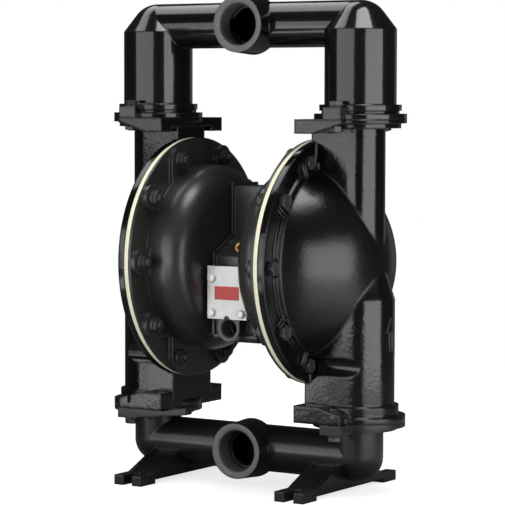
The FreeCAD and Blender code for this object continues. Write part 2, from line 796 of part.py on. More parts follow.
def foot(name, column):
    """One cast foot: a slotted bar under the pipe with two tall ribs and a web between them."""
    half = "(foot_length / 2)"
    low_corner = f"{column} - foot_width / 2"
    bar = block(name + "_bar", "foot_width", "foot_length", "foot_thickness", (low_corner, f"-{half}", "0"))
    arch = block(name + "_arch", "foot_width", "foot_length - 2 * pad_length", "foot_arch",
                 (low_corner, f"-{half} + pad_length", "0"))
    web = padded(name + "_web", "YZ_Plane", foot_profile("foot_web_inset"), "foot_width - rib_thickness",
                 (column, "0", "0"))
    solids = [bar, web]
    for number, edge in enumerate((f"{column} - foot_width / 2",
                                   f"{column} + foot_width / 2 - rib_thickness")):
        solids.append(padded(f"{name}_rib_{number}", "YZ_Plane", foot_profile("0"), "rib_thickness",
                             (f"{edge} + rib_thickness / 2", "0", "0")))
    slots = [arch]
    for number, end in enumerate((-1, 1)):
        stop = f"({half} - slot_length + slot_width / 2)"
        turn = FRONT if end < 0 else BACK
        slots.append(cylinder(f"{name}_slot_end_{number}", "slot_width / 2", "foot_thickness",
                              (column, f"{end} * {stop}", "0")))
        slots.append(block(f"{name}_slot_{number}", "slot_width", "foot_length", "foot_thickness",
                           (f"{column} - slot_width / 2", stop if end > 0 else f"-foot_length - {stop}",
                            "0")))
    return solids, slots


def inlet_manifold():
    """The bottom casting: a pipe with the inlet port, an elbow under each cap and two feet."""
    name = "inlet_manifold"
    boss, inside = port(name + "_port", "inlet_height", "inlet_port_reach")
    outside = [
        boss,
        cylinder(name + "_pipe", "inlet_pipe_radius", "2 * column_offset",
                 ("-column_offset", "0", "inlet_height"), RIGHT),
    ]
    slots = []
    inside.append(cylinder(name + "_pipe_bore", "pipe_bore_radius", "2 * column_offset",
                           ("-column_offset", "0", "inlet_height"), RIGHT))
    tie_bar = [
        ("-column_offset", "bottom_joint - bar_height"),
        ("-bar_bend", "bottom_joint - bar_height"),
        ("-bar_inner", "bottom_joint - bar_gap"),
        ("-bar_inner", "bottom_joint + bar_rise"),
        ("-tab_inner + bar_gap", "bottom_joint"),
        ("-column_offset", "bottom_joint"),
    ]
    for side in SIDES:
        sign = "" if side == "right" else "-"
        column, foot_place = sign + "column_offset", sign + "foot_offset"
        tag = f"{name}_{side}"
        bend = (column, "0", "inlet_height")
        outside += joint_flange(tag, column, "bottom_joint", "inlet_lug_half_width", "inlet_lug_height",
                                False)
        outside += [
            cylinder(tag + "_ring", "ring_radius", "inlet_ring_thickness",
                     (column, "0", "bottom_joint - inlet_ring_thickness")),
            cylinder(tag + "_collar", "inlet_collar_radius", "inlet_collar_height",
                     (column, "0", "bottom_joint - inlet_collar_height")),
            cylinder(tag + "_riser", "elbow_radius", "bottom_joint - inlet_height", bend),
            sphere(tag + "_elbow", "elbow_radius", bend),
            padded(tag + "_tie_bar", "XZ_Plane", tie_bar, "bar_width",
                   ("0", f"{sign}(tab_front - bar_width / 2)", "0"), HALF_TURN if side == "right" else UP),
        ]
        solids, foot_slots = foot(tag + "_foot", foot_place)
        outside += solids
        slots += foot_slots
        inside += [
            cylinder(tag + "_seat", "seat_radius + seat_play", "seat_height",
                     (column, "0", "bottom_joint - seat_height")),
            cylinder(tag + "_riser_bore", "riser_bore_radius", "bottom_joint - inlet_height", bend),
            sphere(tag + "_bend", "riser_bore_radius", bend),
        ]
        for number, front in enumerate(("joint_bolt_offset", "-joint_bolt_offset")):
            inside.append(cylinder(f"{tag}_hole_{number}", "bolt_hole_radius", "inlet_lug_height",
                                   (column, front, "bottom_joint - inlet_lug_height")))
            inside.append(cylinder(f"{tag}_spot_{number}", "spotface_radius",
                                   "bottom_joint - inlet_lug_height",
                                   (column, front, "0")))
    keep(name, cut(name, joined(name + "_outside", outside), inside + slots))


def block_outline(inset):
    """The side view of the centre body, as points in Y and Z, drawn in by an inset."""
    return [
        (f"-block_front + {inset}", f"-block_bottom + {inset}"),
        (f"block_back - {inset}", f"-block_bottom + {inset}"),
        (f"block_back - {inset}", f"block_top - {inset}"),
        (f"-block_upper_front + {inset}", f"block_top - {inset}"),
        (f"-block_upper_front + {inset}", f"slope_top - {inset}"),
        (f"-block_front + {inset}", f"slope_bottom - {inset}"),
    ]


def centre_body():
    """The middle casting: it carries the rod, the air valve, the air inlet and the exhaust."""
    name = "center_body"
    at = ("0", "0", "axis_height")
    boss_at = ("0", "-air_boss_reach", "axis_height - air_inlet_drop")
    valve_z = "axis_height - insert_drop"
    seat = "-block_front - gasket_thickness"
    outside = [
        padded(name + "_block", "YZ_Plane", block_outline("0"), f"2 * {BLOCK_FACE}", at),
        cylinder(name + "_spigot", "spigot_radius", f"2 * ({INNER_WALL} + spigot_end)",
                 (f"-({INNER_WALL} + spigot_end)", "0", "axis_height"), RIGHT),
        common(name + "_air_boss", [
            cylinder(name + "_air_boss_round", "air_boss_radius", "air_boss_reach", boss_at, BACK),
            block(name + "_air_boss_part", "2 * air_boss_radius", "air_boss_reach",
                  "air_inlet_drop + air_boss_radius - valve_low - pocket_play",
                  ("-air_boss_radius", "-air_boss_reach", "axis_height - air_inlet_drop - air_boss_radius")),
        ]),
        block(name + "_air_boss_top", "2 * air_boss_radius", "air_boss_reach",
              "air_inlet_drop - valve_low - pocket_play",
              ("-air_boss_radius", "-air_boss_reach", "axis_height - air_inlet_drop")),
        cylinder(name + "_cross_tube", "cross_tube_radius", f"2 * {BLOCK_FACE}",
                 (f"-{BLOCK_FACE}", "-cross_tube_front", "axis_height - cross_tube_drop"), RIGHT),
        cylinder(name + "_plug_boss", "plug_boss_radius", "plug_boss_face",
                 ("0", "-plug_boss_face", "axis_height + plug_rise"), BACK),
        cylinder(name + "_exhaust_boss", "exhaust_boss_radius", "block_back + exhaust_boss_length",
                 ("0", "0", valve_z), BACK),
    ]
    for number, side in enumerate((1, -1)):
        outside.append(padded(f"{name}_end_rim_{number}", "YZ_Plane", block_outline("(-end_rim_rise)"),
                              "end_rim_thickness", (f"{side} * ({BLOCK_FACE} - end_rim_thickness / 2)", "0",
                                                    "axis_height")))
    inside = [
        cylinder(name + "_rod_bore", "rod_radius + 1", "4 * block_top",
                 ("-2 * block_top", "0", "axis_height"), RIGHT),
        block(name + "_valve_pocket", "2 * (insert_half_width + pocket_play)",
              "insert_depth + pocket_play + gasket_thickness", "2 * (insert_half_height + pocket_play)",
              ("-insert_half_width - pocket_play", "-block_front - gasket_thickness",
               f"{valve_z} - insert_half_height - pocket_play")),
        cone(name + "_air_mouth", "air_mouth_radius", "air_thread_radius", "port_chamfer", boss_at, BACK),
        cylinder(name + "_air_thread", "air_thread_radius", "air_thread_depth", boss_at, BACK),
        cylinder(name + "_air_bore", "air_bore_radius", "air_bore_depth", boss_at, BACK),
        cylinder(name + "_air_riser", "air_riser_radius",
                 "air_inlet_drop - insert_drop - insert_half_height / 2",
                 ("0", "-air_boss_reach + air_riser_back", "axis_height - air_inlet_drop")),
        cylinder(name + "_exhaust_thread", "exhaust_thread_radius", "exhaust_thread_depth",
                 ("0", "block_back + exhaust_boss_length - exhaust_thread_depth", valve_z), BACK),
        cylinder(name + "_exhaust_bore", "exhaust_bore_radius", "2 * block_back",
                 ("0", "-block_back / 2", valve_z), BACK),
        cylinder(name + "_pilot_bore", "pilot_radius + 1", "4 * block_top",
                 ("-2 * block_top", "pilot_back", "axis_height + pilot_rise"), RIGHT),
        cylinder(name + "_air_passage", "air_passage_radius", "4 * block_top",
                 ("-2 * block_top", "-air_passage_back", valve_z), RIGHT),
        cylinder(name + "_plug_seat", "plug_radius", "plug_depth",
                 ("0", "-plug_boss_face", "axis_height + plug_rise"), BACK),
    ]
    end = f"({INNER_WALL} + spigot_end)"
    for number, (start, turn) in enumerate(((f"{end}", LEFT), (f"-{end}", RIGHT))):
        inside.append(cylinder(f"{name}_bearing_{number}", "bushing_radius",
                               "bushing_length + rod_seal_length",
                               (start, "0", "axis_height"), turn))
    for number, (start, turn) in enumerate(((BLOCK_FACE, LEFT), (f"-{BLOCK_FACE}", RIGHT))):
        inside.append(cylinder(f"{name}_pilot_bearing_{number}", "pilot_bushing_radius",
                               "pilot_bushing_length",
                               (start, "pilot_back", "axis_height + pilot_rise"), turn))
        for place_number, (spot_y, spot_z) in enumerate(screw_places()):
            inside.append(cylinder(f"{name}_screw_{number}_{place_number}", "body_screw_radius",
                                   "body_screw_grip",
                                   (start, spot_y, spot_z), turn))
    for number, (spot_x, spot_z) in enumerate(cover_screw_places()):
        inside.append(cylinder(f"{name}_cover_screw_{number}", "cover_screw_radius",
                               "cover_screw_length - cover_thickness - valve_depth",
                               (spot_x, seat, spot_z), BACK))
    keep(name, cut(name, joined(name + "_outside", outside), inside))


def cover_screw_places():
    """Where the four screws of the valve cover stand."""
    return [
        (f"{side} * cover_screw_half_span", f"axis_height - {drop}")
        for side in (-1, 1) for drop in ("cover_screw_high", "cover_screw_low")
    ]


def brass_plug():
    """The plug screwed into the boss on the sloping shoulder of the centre body."""
    at = ("0", "-plug_boss_face - plug_height", "axis_height + plug_rise")
    stem = cylinder("brass_plug_stem", "plug_radius", "plug_depth + plug_height", at, BACK)
    socket = prism("brass_plug_socket", "2 * plug_socket_radius", "plug_socket_depth", at, BACK)
    keep("brass_plug", cut("brass_plug", stem, [socket]))


def valve():
    """The air valve: gasket, block, sleeve, spool, end plugs, cover plate, screws and label."""
    low = "axis_height - valve_low"
    height = "valve_low - valve_high"
    seat = "(block_front + gasket_thickness)"
    face = f"({seat} + valve_depth)"
    spool_z = "axis_height - insert_drop"
    spool_y = f"-block_front + spool_back"
    gasket = block("valve_gasket_sheet", "2 * block_half_width", "gasket_thickness", height,
                   ("-block_half_width", f"-{seat}", low))
    window = block("valve_gasket_window", "2 * (insert_half_width + pocket_play)", "3 * gasket_thickness",
                   "2 * (insert_half_height + pocket_play)",
                   ("-insert_half_width - pocket_play", f"-{seat} - gasket_thickness",
                    f"{spool_z} - insert_half_height - pocket_play"))
    holes = cover_holes("valve_gasket", f"-{face}")
    keep("valve_gasket", cut("valve_gasket", gasket, [window] + holes))

    flange = block("valve_block_flange", "2 * block_half_width", "valve_depth", height,
                   ("-block_half_width", f"-{face}", low))
    insert = block("valve_block_insert", "2 * insert_half_width", "insert_depth + gasket_thickness + 2",
                   "2 * insert_half_height",
                   ("-insert_half_width", f"-{seat} - 2", f"{spool_z} - insert_half_height"))
    bore = cylinder("valve_block_bore", "sleeve_radius", "2 * insert_half_width",
                    ("-insert_half_width", spool_y, spool_z), RIGHT)
    keep("valve_block", cut("valve_block", joined("valve_block_body", [flange, insert]),
                            [bore] + cover_holes("valve_block", f"-{face}")))

    tube = cylinder("spool_sleeve_tube", "sleeve_radius", "2 * sleeve_half_length",
                    ("-sleeve_half_length", spool_y, spool_z), RIGHT)
    hollow = cylinder("spool_sleeve_bore", "sleeve_bore", "2 * sleeve_half_length",
                      ("-sleeve_half_length", spool_y, spool_z), RIGHT)
    keep("spool_sleeve", cut("spool_sleeve", tube, [hollow]))
    plugs = [
        cylinder(f"valve_end_plug_{number}", "sleeve_radius", "end_plug_length",
                 (start, spool_y, spool_z), turn)
        for number, (start, turn) in enumerate((("sleeve_half_length", RIGHT), ("-sleeve_half_length", LEFT)))
    ]
    keep("valve_end_plugs", group("valve_end_plugs", plugs))
    land = "(sleeve_bore - spool_play)"
    spool = [("0", "-spool_half_length"), (land, "-spool_half_length")]
    for centre in ("-spool_half_length / 2", "spool_half_length / 2"):
        spool += [
            (land, f"{centre} - spool_groove_width / 2"),
            ("spool_groove_radius", f"{centre} - spool_groove_width / 2"),
            ("spool_groove_radius", f"{centre} + spool_groove_width / 2"),
            (land, f"{centre} + spool_groove_width / 2"),
        ]
    spool += [(land, "spool_half_length"), ("0", "spool_half_length")]
    keep("valve_spool", turned("valve_spool", spool, ("0", spool_y, spool_z), RIGHT))

    plate_at = ("-block_half_width", f"-{face} - cover_thickness", low)
    plate = block("cover_plate_sheet", "2 * block_half_width", "cover_thickness", height, plate_at)
    notch = cylinder("cover_plate_notch", "cover_notch_radius", "cover_thickness",
                     ("0", f"-{face} - cover_thickness", low), BACK)
    keep("cover_plate",
         cut("cover_plate", plate, [notch] + cover_holes("cover_plate", f"-{face} - cover_thickness")))
    label = block("label_plate", "2 * label_half_width", "label_thickness", "label_low - label_high",
                  ("-label_half_width", f"-{face} - cover_thickness - label_thickness",
                   "axis_height - label_low"))
    keep("label_plate", label)
    screws = []
    for number, (spot_x, spot_z) in enumerate(cover_screw_places()):
        head = cylinder(f"cover_screw_head_{number}", "cover_screw_head_radius", "cover_screw_head")
        socket = prism(f"cover_screw_socket_{number}", "cover_screw_head_radius", "cover_screw_head",
                       ("0", "0", "cover_screw_head / 2"))
        shank = cylinder(f"cover_screw_shank_{number}", "cover_screw_radius", "cover_screw_length", turn=DOWN)
        drilled = cut(f"cover_screw_drilled_{number}", head, [socket])
        screws.append(joined(f"cover_screw_{number}", [drilled, shank],
                             (spot_x, f"-{face} - cover_thickness", spot_z), FRONT))
    keep("cover_screws", group("cover_screws", screws))


def cover_holes(name, start):
    """The four screw holes of a plate in the valve stack."""
    return [
        cylinder(f"{name}_screw_hole_{number}", "cover_screw_radius + 0.2",
                 "valve_depth + 2 * cover_thickness",
                 (spot_x, f"{start} - cover_thickness", spot_z), BACK)
        for number, (spot_x, spot_z) in enumerate(cover_screw_places())
    ]


def muffler():
    """The exhaust silencer on the back of the centre body."""
    step = "(muffler_length - muffler_neck_length) / 6"
    face = "exhaust_thread_depth"
    body_start = f"({face} + muffler_neck_length)"
    rim = "(muffler_radius - muffler_groove_depth)"
    outline = [
        ("muffler_neck_radius / 2", "0"),
        ("exhaust_thread_radius", "0"),
        ("exhaust_thread_radius", face),
        ("muffler_neck_radius", face),
        ("muffler_neck_radius", body_start),
        ("muffler_radius", body_start),
    ]
    for number in range(1, 5):
        outline += [
            ("muffler_radius", f"{body_start} + {step} * {number} - muffler_groove_depth"),
            (rim, f"{body_start} + {step} * {number} - muffler_groove_depth / 2"),
            ("muffler_radius", f"{body_start} + {step} * {number}"),
        ]
    end = f"({face} + muffler_length)"
    outline += [
        ("muffler_radius", f"{end} - 2 * muffler_wall"),
        ("muffler_radius - 2 * muffler_wall", end),
        ("0", end),
        ("0", f"{end} - muffler_wall"),
        (f"{rim} - muffler_wall", f"{end} - 3 * muffler_wall"),
        (f"{rim} - muffler_wall", f"{body_start} + muffler_wall"),
        ("muffler_neck_radius / 2", f"{body_start} + muffler_wall"),
    ]
    at = ("0", "block_back + exhaust_boss_length - exhaust_thread_depth", "axis_height - insert_drop")
    keep("exhaust_muffler", turned("exhaust_muffler", outline, at, BACK))


def joint_hardware():
    """Bolts, nuts and washers of the four joints between the caps and the manifolds."""
    kinds = (
        ("outlet", "top_joint + lug_height", UP, "top_joint - top_grip", DOWN, "lug_height + top_grip"),
        ("inlet", "bottom_joint - inlet_lug_height", DOWN, "bottom_joint + ring_thickness", UP,
         "inlet_lug_height + ring_thickness"),
    )
    for kind, head_z, head_turn, nut_z, nut_turn, grip in kinds:
        bolts, nuts, washers = [], [], []
        outward = 1 if head_turn is UP else -1
        for number in range(4):
            column = "column_offset" if number % 2 else "-column_offset"
            front = "joint_bolt_offset" if number < 2 else "-joint_bolt_offset"
            tag = f"{kind}_{number}"
            length = f"{grip} + washer_thickness + nut_height + joint_thread_end"
            bolts.append(bolt(f"{tag}_bolt", "bolt_head_width", "bolt_head_height", "bolt_radius", length,
                              (column, front, f"{head_z} + {outward} * washer_thickness"), head_turn))
            washers.append(washer(f"{tag}_washer", "washer_radius", "bolt_hole_radius", "washer_thickness",
                                  (column, front, head_z), head_turn))
            nuts.append(nut(f"{tag}_nut", "bolt_head_width", "nut_height", "bolt_radius",
                            (column, front, nut_z), nut_turn))
        keep(f"{kind}_bolts", group(f"{kind}_bolts", bolts))
        keep(f"{kind}_washers", group(f"{kind}_washers", washers))
        keep(f"{kind}_nuts", group(f"{kind}_nuts", nuts))


def cap_hardware(side, turn):
    """The bolts and nuts round one diaphragm rim, and the screws inside its air cap."""
    grip = f"({CAP_BACK} - {LUG_BACK})"
    bolts = [
        bolt(f"cap_bolt_{side}_{number}", "cap_bolt_width", "cap_bolt_head", "cap_bolt_radius",
             f"{grip} + cap_nut_height + thread_end", spot, RIGHT)
        for number, spot in enumerate(circle_places(CAP_BACK))
    ]
    nuts = [
        nut(f"cap_nut_{side}_{number}", "cap_bolt_width", "cap_nut_height", "cap_bolt_radius", spot, LEFT)
        for number, spot in enumerate(circle_places(LUG_BACK))
    ]
    keep(f"cap_bolts_{side}", group(f"cap_bolts_{side}", bolts, turn=turn))
    keep(f"cap_nuts_{side}", group(f"cap_nuts_{side}", nuts, turn=turn))
    flip = "" if side == "right" else "-"
    screws = []
    for number, (spot_y, spot_z) in enumerate(screw_places()):
        head = cylinder(f"body_screw_head_{side}_{number}", "body_screw_head_radius", "body_screw_head")
        socket = prism(f"body_screw_socket_{side}_{number}", "body_screw_head_radius", "body_screw_head",
                       ("0", "0", "body_screw_head / 2"))
        shank = cylinder(f"body_screw_shank_{side}_{number}", "body_screw_radius",
                         f"{INNER_WALL} - {BLOCK_FACE} + body_screw_grip", turn=DOWN)
        drilled = cut(f"body_screw_drilled_{side}_{number}", head, [socket])
        screws.append(joined(f"body_screw_{side}_{number}", [drilled, shank],
                             (INNER_WALL, f"{flip}({spot_y})", spot_z), RIGHT))
    keep(f"body_screws_{side}", group(f"body_screws_{side}", screws, turn=turn))


def body_gasket(side):
    """The gasket between the centre body and one air cap."""
    name = f"body_gasket_{side}"
    sign = "" if side == "right" else "-"
    turn = RIGHT if side == "right" else LEFT
    middle = f"{sign}({BLOCK_FACE} + gasket_thickness / 2)"
    sheet_body = padded(name + "_sheet", "YZ_Plane", block_outline("gasket_inset"), "gasket_thickness",
                        (middle, "0", "axis_height"))
    holes = [
        cylinder(name + "_spigot", "spigot_radius + spigot_play", "bead_face", ("0", "0", "axis_height"),
                 turn),
        cylinder(name + "_pilot", "pilot_radius + pilot_clearance", "bead_face",
                 ("0", "pilot_back", "axis_height + pilot_rise"), turn),
        cylinder(name + "_air", "air_passage_radius", "bead_face",
                 ("0", "-air_passage_back", "axis_height - insert_drop"), turn),
    ]
    for number, (spot_y, spot_z) in enumerate(screw_places()):
        holes.append(cylinder(f"{name}_screw_{number}", "body_screw_radius + screw_play", "bead_face",
                              ("0", spot_y, spot_z), turn))
    keep(name, cut(name, sheet_body, holes))


def rod_bearings():
    """The bushings and lip seals of the diaphragm rod and the bushings of the pilot rod."""
    end = f"({INNER_WALL} + spigot_end)"
    bushings, seals, pilots = [], [], []
    for number, (start, turn, sign) in enumerate(((end, LEFT, 1), (f"-{end}", RIGHT, -1))):
        bushings.append(washer(f"rod_bushing_{number}", "bushing_radius", "rod_radius + rod_play",
                               "bushing_length",
                               (f"{sign} * ({end} - rod_seal_length)", "0", "axis_height"), turn))
        seals.append(washer(f"rod_seal_{number}", "bushing_radius", "rod_radius + rod_play",
                            "rod_seal_length",
                            (start, "0", "axis_height"), turn))
        pilots.append(washer(f"pilot_bushing_{number}", "pilot_bushing_radius", "pilot_radius + pilot_play",
                             "pilot_bushing_length",
                             (f"{sign} * {BLOCK_FACE}", "pilot_back", "axis_height + pilot_rise"), turn))
    keep("rod_bushings", group("rod_bushings", bushings))
    keep("rod_seals", group("rod_seals", seals))
    keep("pilot_bushings", group("pilot_bushings", pilots))


def rod_set():
    """The diaphragm rod with its nuts, and the pilot rod."""
    stud_end = f"({CAP_FACE} + outer_plate_hub + rod_nut_height + rod_nut_thread)"
    outline = [
        ("0", f"-{stud_end}"),
        ("stud_radius", f"-{stud_end}"),
        ("stud_radius", "-rod_shoulder"),
        ("rod_radius", "-rod_shoulder"),
        ("rod_radius", "rod_shoulder"),
        ("stud_radius", "rod_shoulder"),
        ("stud_radius", stud_end),
        ("0", stud_end),
    ]
    keep("connecting_rod", turned("connecting_rod", outline, ("0", "0", "axis_height"), RIGHT))
    seat = f"({CAP_FACE} + outer_plate_hub)"
    nuts = [
        nut(f"rod_nut_{number}", "rod_nut_width", "rod_nut_height", "stud_radius",
            (start, "0", "axis_height"), turn)
        for number, (start, turn) in enumerate(((seat, RIGHT), (f"-{seat}", LEFT)))
    ]
    keep("rod_nuts", group("rod_nuts", nuts))
    half = "(rod_shoulder - stroke - pilot_gap)"
    keep("pilot_rod", cylinder("pilot_rod", "pilot_radius", f"2 * {half}",
                               (f"-{half}", "pilot_back", "axis_height + pilot_rise"), RIGHT))


def diaphragm_set(side, turn):
    """One diaphragm and the plates that clamp its middle to the rod."""
    at = ("0", "0", "axis_height")
    inner = [
        ("stud_radius", "rod_shoulder"),
        ("inner_plate_flat", "rod_shoulder"),
        ("plate_radius", "bead_face - inner_plate_rim"),
        ("plate_radius", "bead_face"),
        ("stud_radius", "bead_face"),
    ]
    outer = [
        ("stud_radius", CAP_FACE),
        ("outer_plate_radius", CAP_FACE),
        ("outer_plate_radius", f"{CAP_FACE} + outer_plate_rim"),
        ("hub_flat_radius", f"{CAP_FACE} + outer_plate_hub"),
        ("stud_radius", f"{CAP_FACE} + outer_plate_hub"),
    ]
    facing = RIGHT if side == "right" else LEFT
    keep(f"inner_plate_{side}", turned(f"inner_plate_{side}", inner, at, facing))
    keep(f"outer_plate_{side}", turned(f"outer_plate_{side}", outer, at, facing))
    quarter = "(fold_outer_radius - fold_inner_radius) / 4"
    middle = "(fold_outer_radius + fold_inner_radius) / 2"
    lower = [
        ("fold_inner_radius", "bead_face"),
        (f"fold_inner_radius + {quarter} / 2", "bead_face + 0.55 * fold_height"),
        (f"{middle} - {quarter}", "bead_face + 0.86 * fold_height"),
        (middle, "bead_face + fold_height"),
        (f"{middle} + {quarter}", "bead_face + 0.86 * fold_height"),
        (f"fold_outer_radius - {quarter} / 2", "bead_face + 0.55 * fold_height"),
        ("fold_outer_radius", "bead_face"),
    ]
    upper = [
        (f"fold_outer_radius + fold_thickness", CAP_FACE),
        (f"fold_outer_radius - {quarter} / 2 + fold_thickness * 0.8",
         "bead_face + 0.62 * fold_height + fold_thickness / 2"),
        (f"{middle} + {quarter}", "bead_face + 0.86 * fold_height + fold_thickness"),
        (middle, "bead_face + fold_height + fold_thickness"),
        (f"{middle} - {quarter}", "bead_face + 0.86 * fold_height + fold_thickness"),
        (f"fold_inner_radius + {quarter} / 2 - fold_thickness * 0.8",
         "bead_face + 0.62 * fold_height + fold_thickness / 2"),
        (f"fold_inner_radius - fold_thickness", CAP_FACE),
    ]
    outline = [("stud_radius", "bead_face")] + lower
    outline += [("flange_radius", "bead_face"), ("flange_radius", CAP_FACE)] + upper
    outline += [("stud_radius", CAP_FACE)]
    sheet_body = turned(f"diaphragm_{side}_sheet", outline, at, RIGHT)
    holes = [
        cylinder(f"diaphragm_{side}_hole_{number}", "cap_hole_radius", "3 * bead_thickness", spot, RIGHT)
        for number, spot in enumerate(circle_places("bead_face - bead_thickness"))
    ]
    keep(f"diaphragm_{side}", cut(f"diaphragm_{side}", sheet_body, holes, turn=turn))


def ball_valve(kind, side, column, joint, lowest, centre):
    """One check valve: its ball, its seat and the ring that seals the joint."""
    tag = f"{kind}_{side}"
    keep(f"{kind}_ball_{side}", sphere(f"{tag}_ball", "ball_radius", (column, "0", centre)))
    outline = [
        ("seat_bore", "0"),
        ("seat_radius", "0"),
        ("seat_radius", "seat_height"),
        ("seat_bore + seat_chamfer", "seat_height"),
        ("seat_bore", "seat_height - seat_chamfer"),
    ]
    keep(f"{kind}_seat_{side}", turned(f"{tag}_seat", outline, (column, "0", lowest)))
    ring = torus(f"{tag}_ring", "oring_radius", "oring_section", (column, "0", joint))
    half = cylinder(f"{tag}_ring_half", "ring_radius", "2 * oring_section", (column, "0", joint))
    keep(f"{kind}_oring_{side}", common(f"{tag}_oring", [ring, half]))


outlet_manifold()
inlet_manifold()
for side, turn in SIDES.items():
    fluid_cap(side, turn)
    air_cap(side, turn)
    body_gasket(side)
    diaphragm_set(side, turn)
    cap_hardware(side, turn)
    column = "column_offset" if side == "right" else "-column_offset"
    ball_valve("outlet", side, column, "top_joint", "top_joint - seat_height", TOP_BALL)
    ball_valve("inlet", side, column, "bottom_joint", "bottom_joint - seat_height", LOW_BALL)
centre_body()
valve()
muffler()
joint_hardware()
rod_bearings()
rod_set()
brass_plug()

doc.recompute()

failed = [item.Name for item in doc.Objects if {"Invalid", "Error"} & set(item.State)]
if failed:
    raise RuntimeError("These objects failed: " + ", ".join(failed))
for label, item in nodes.items():
    if item.Shape.isNull() or not item.Shape.isValid() or not item.Shape.Solids:
        raise RuntimeError(f"{label} has no valid shape")
for label, item in nodes.items():
    item.Shape.exportStep(f"parts/{label}.step")
    print(label, len(item.Shape.Solids), round(item.Shape.Volume))
print(len(nodes), "sub-parts")
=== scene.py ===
import logging
import math
from dataclasses import dataclass
from enum import Enum
from typing import Callable, Iterable, Sequence

import bmesh
import bpy
from mathutils import Matrix, Vector


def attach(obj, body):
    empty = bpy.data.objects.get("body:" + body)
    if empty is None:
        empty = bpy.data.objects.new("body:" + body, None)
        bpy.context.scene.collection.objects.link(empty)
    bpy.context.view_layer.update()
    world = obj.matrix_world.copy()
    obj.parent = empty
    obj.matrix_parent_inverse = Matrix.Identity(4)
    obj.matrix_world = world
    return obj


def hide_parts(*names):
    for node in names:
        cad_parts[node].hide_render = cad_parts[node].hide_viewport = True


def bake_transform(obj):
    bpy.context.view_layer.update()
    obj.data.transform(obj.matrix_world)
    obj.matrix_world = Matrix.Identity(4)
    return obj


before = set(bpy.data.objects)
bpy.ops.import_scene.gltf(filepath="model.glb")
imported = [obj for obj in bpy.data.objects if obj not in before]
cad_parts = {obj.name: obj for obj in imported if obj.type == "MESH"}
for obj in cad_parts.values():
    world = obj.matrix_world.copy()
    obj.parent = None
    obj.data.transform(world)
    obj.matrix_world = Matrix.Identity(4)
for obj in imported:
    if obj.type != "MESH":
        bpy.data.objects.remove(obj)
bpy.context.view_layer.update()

log = logging.getLogger("pump")

MM = 0.001


class Side(Enum):
    """The two pumping chambers."""

    RIGHT = "right"
    LEFT = "left"

    @property
    def sign(self) -> int:
        """Which way along X the chamber lies."""
        return 1 if self is Side.RIGHT else -1


class Signal:
    """A shader value that takes part in Python sums, and adds its Math nodes as it goes."""

    def __init__(self, tree: bpy.types.NodeTree, socket: bpy.types.NodeSocket) -> None:
        """Wrap one output socket of a node tree."""
        self.tree = tree
        self.socket = socket

    def math(self, operation: str, *others: "Signal | float", flip: bool = False) -> "Signal":
        """Join this value and others in one Math node.

        Args:
            operation: The Math node's operation.
            others: The values after this one, as signals or plain numbers.
            flip: Whether the first of the others comes before this value.

        Returns:
            The Math node's value.
        """
        node = self.tree.nodes.new("ShaderNodeMath")
        node.operation = operation
        values = [self, *others]
        if flip:
            values[0], values[1] = values[1], values[0]
        for socket, value in zip(node.inputs, values):
            if isinstance(value, Signal):
                self.tree.links.new(value.socket, socket)
            else:
                socket.default_value = value
        return Signal(self.tree, node.outputs[0])

    def __add__(self, other: "Signal | float") -> "Signal":
        """Add."""
        return self.math("ADD", other)

    def __radd__(self, other: float) -> "Signal":
        """Add to a plain number."""
        return self.math("ADD", other)

    def __sub__(self, other: "Signal | float") -> "Signal":
        """Take away."""
        return self.math("SUBTRACT", other)

    def __rsub__(self, other: float) -> "Signal":
        """Take this from a plain number."""
        return self.math("SUBTRACT", other, flip=True)

    def __mul__(self, other: "Signal | float") -> "Signal":
        """Multiply."""
        return self.math("MULTIPLY", other)

    def __rmul__(self, other: float) -> "Signal":
        """Multiply a plain number."""
        return self.math("MULTIPLY", other)

    def between(self, low: float, high: float) -> "Signal":
        """Stretch the stretch from low to high over 0 to 1, and stop at its ends."""
        return ((self - low) * (1 / (high - low))).math("MAXIMUM", 0.0).math("MINIMUM", 1.0)

    def spread(self, low: float, high: float) -> "Signal":
        """Lay 0 to 1 over low to high."""
        return self * (high - low) + low


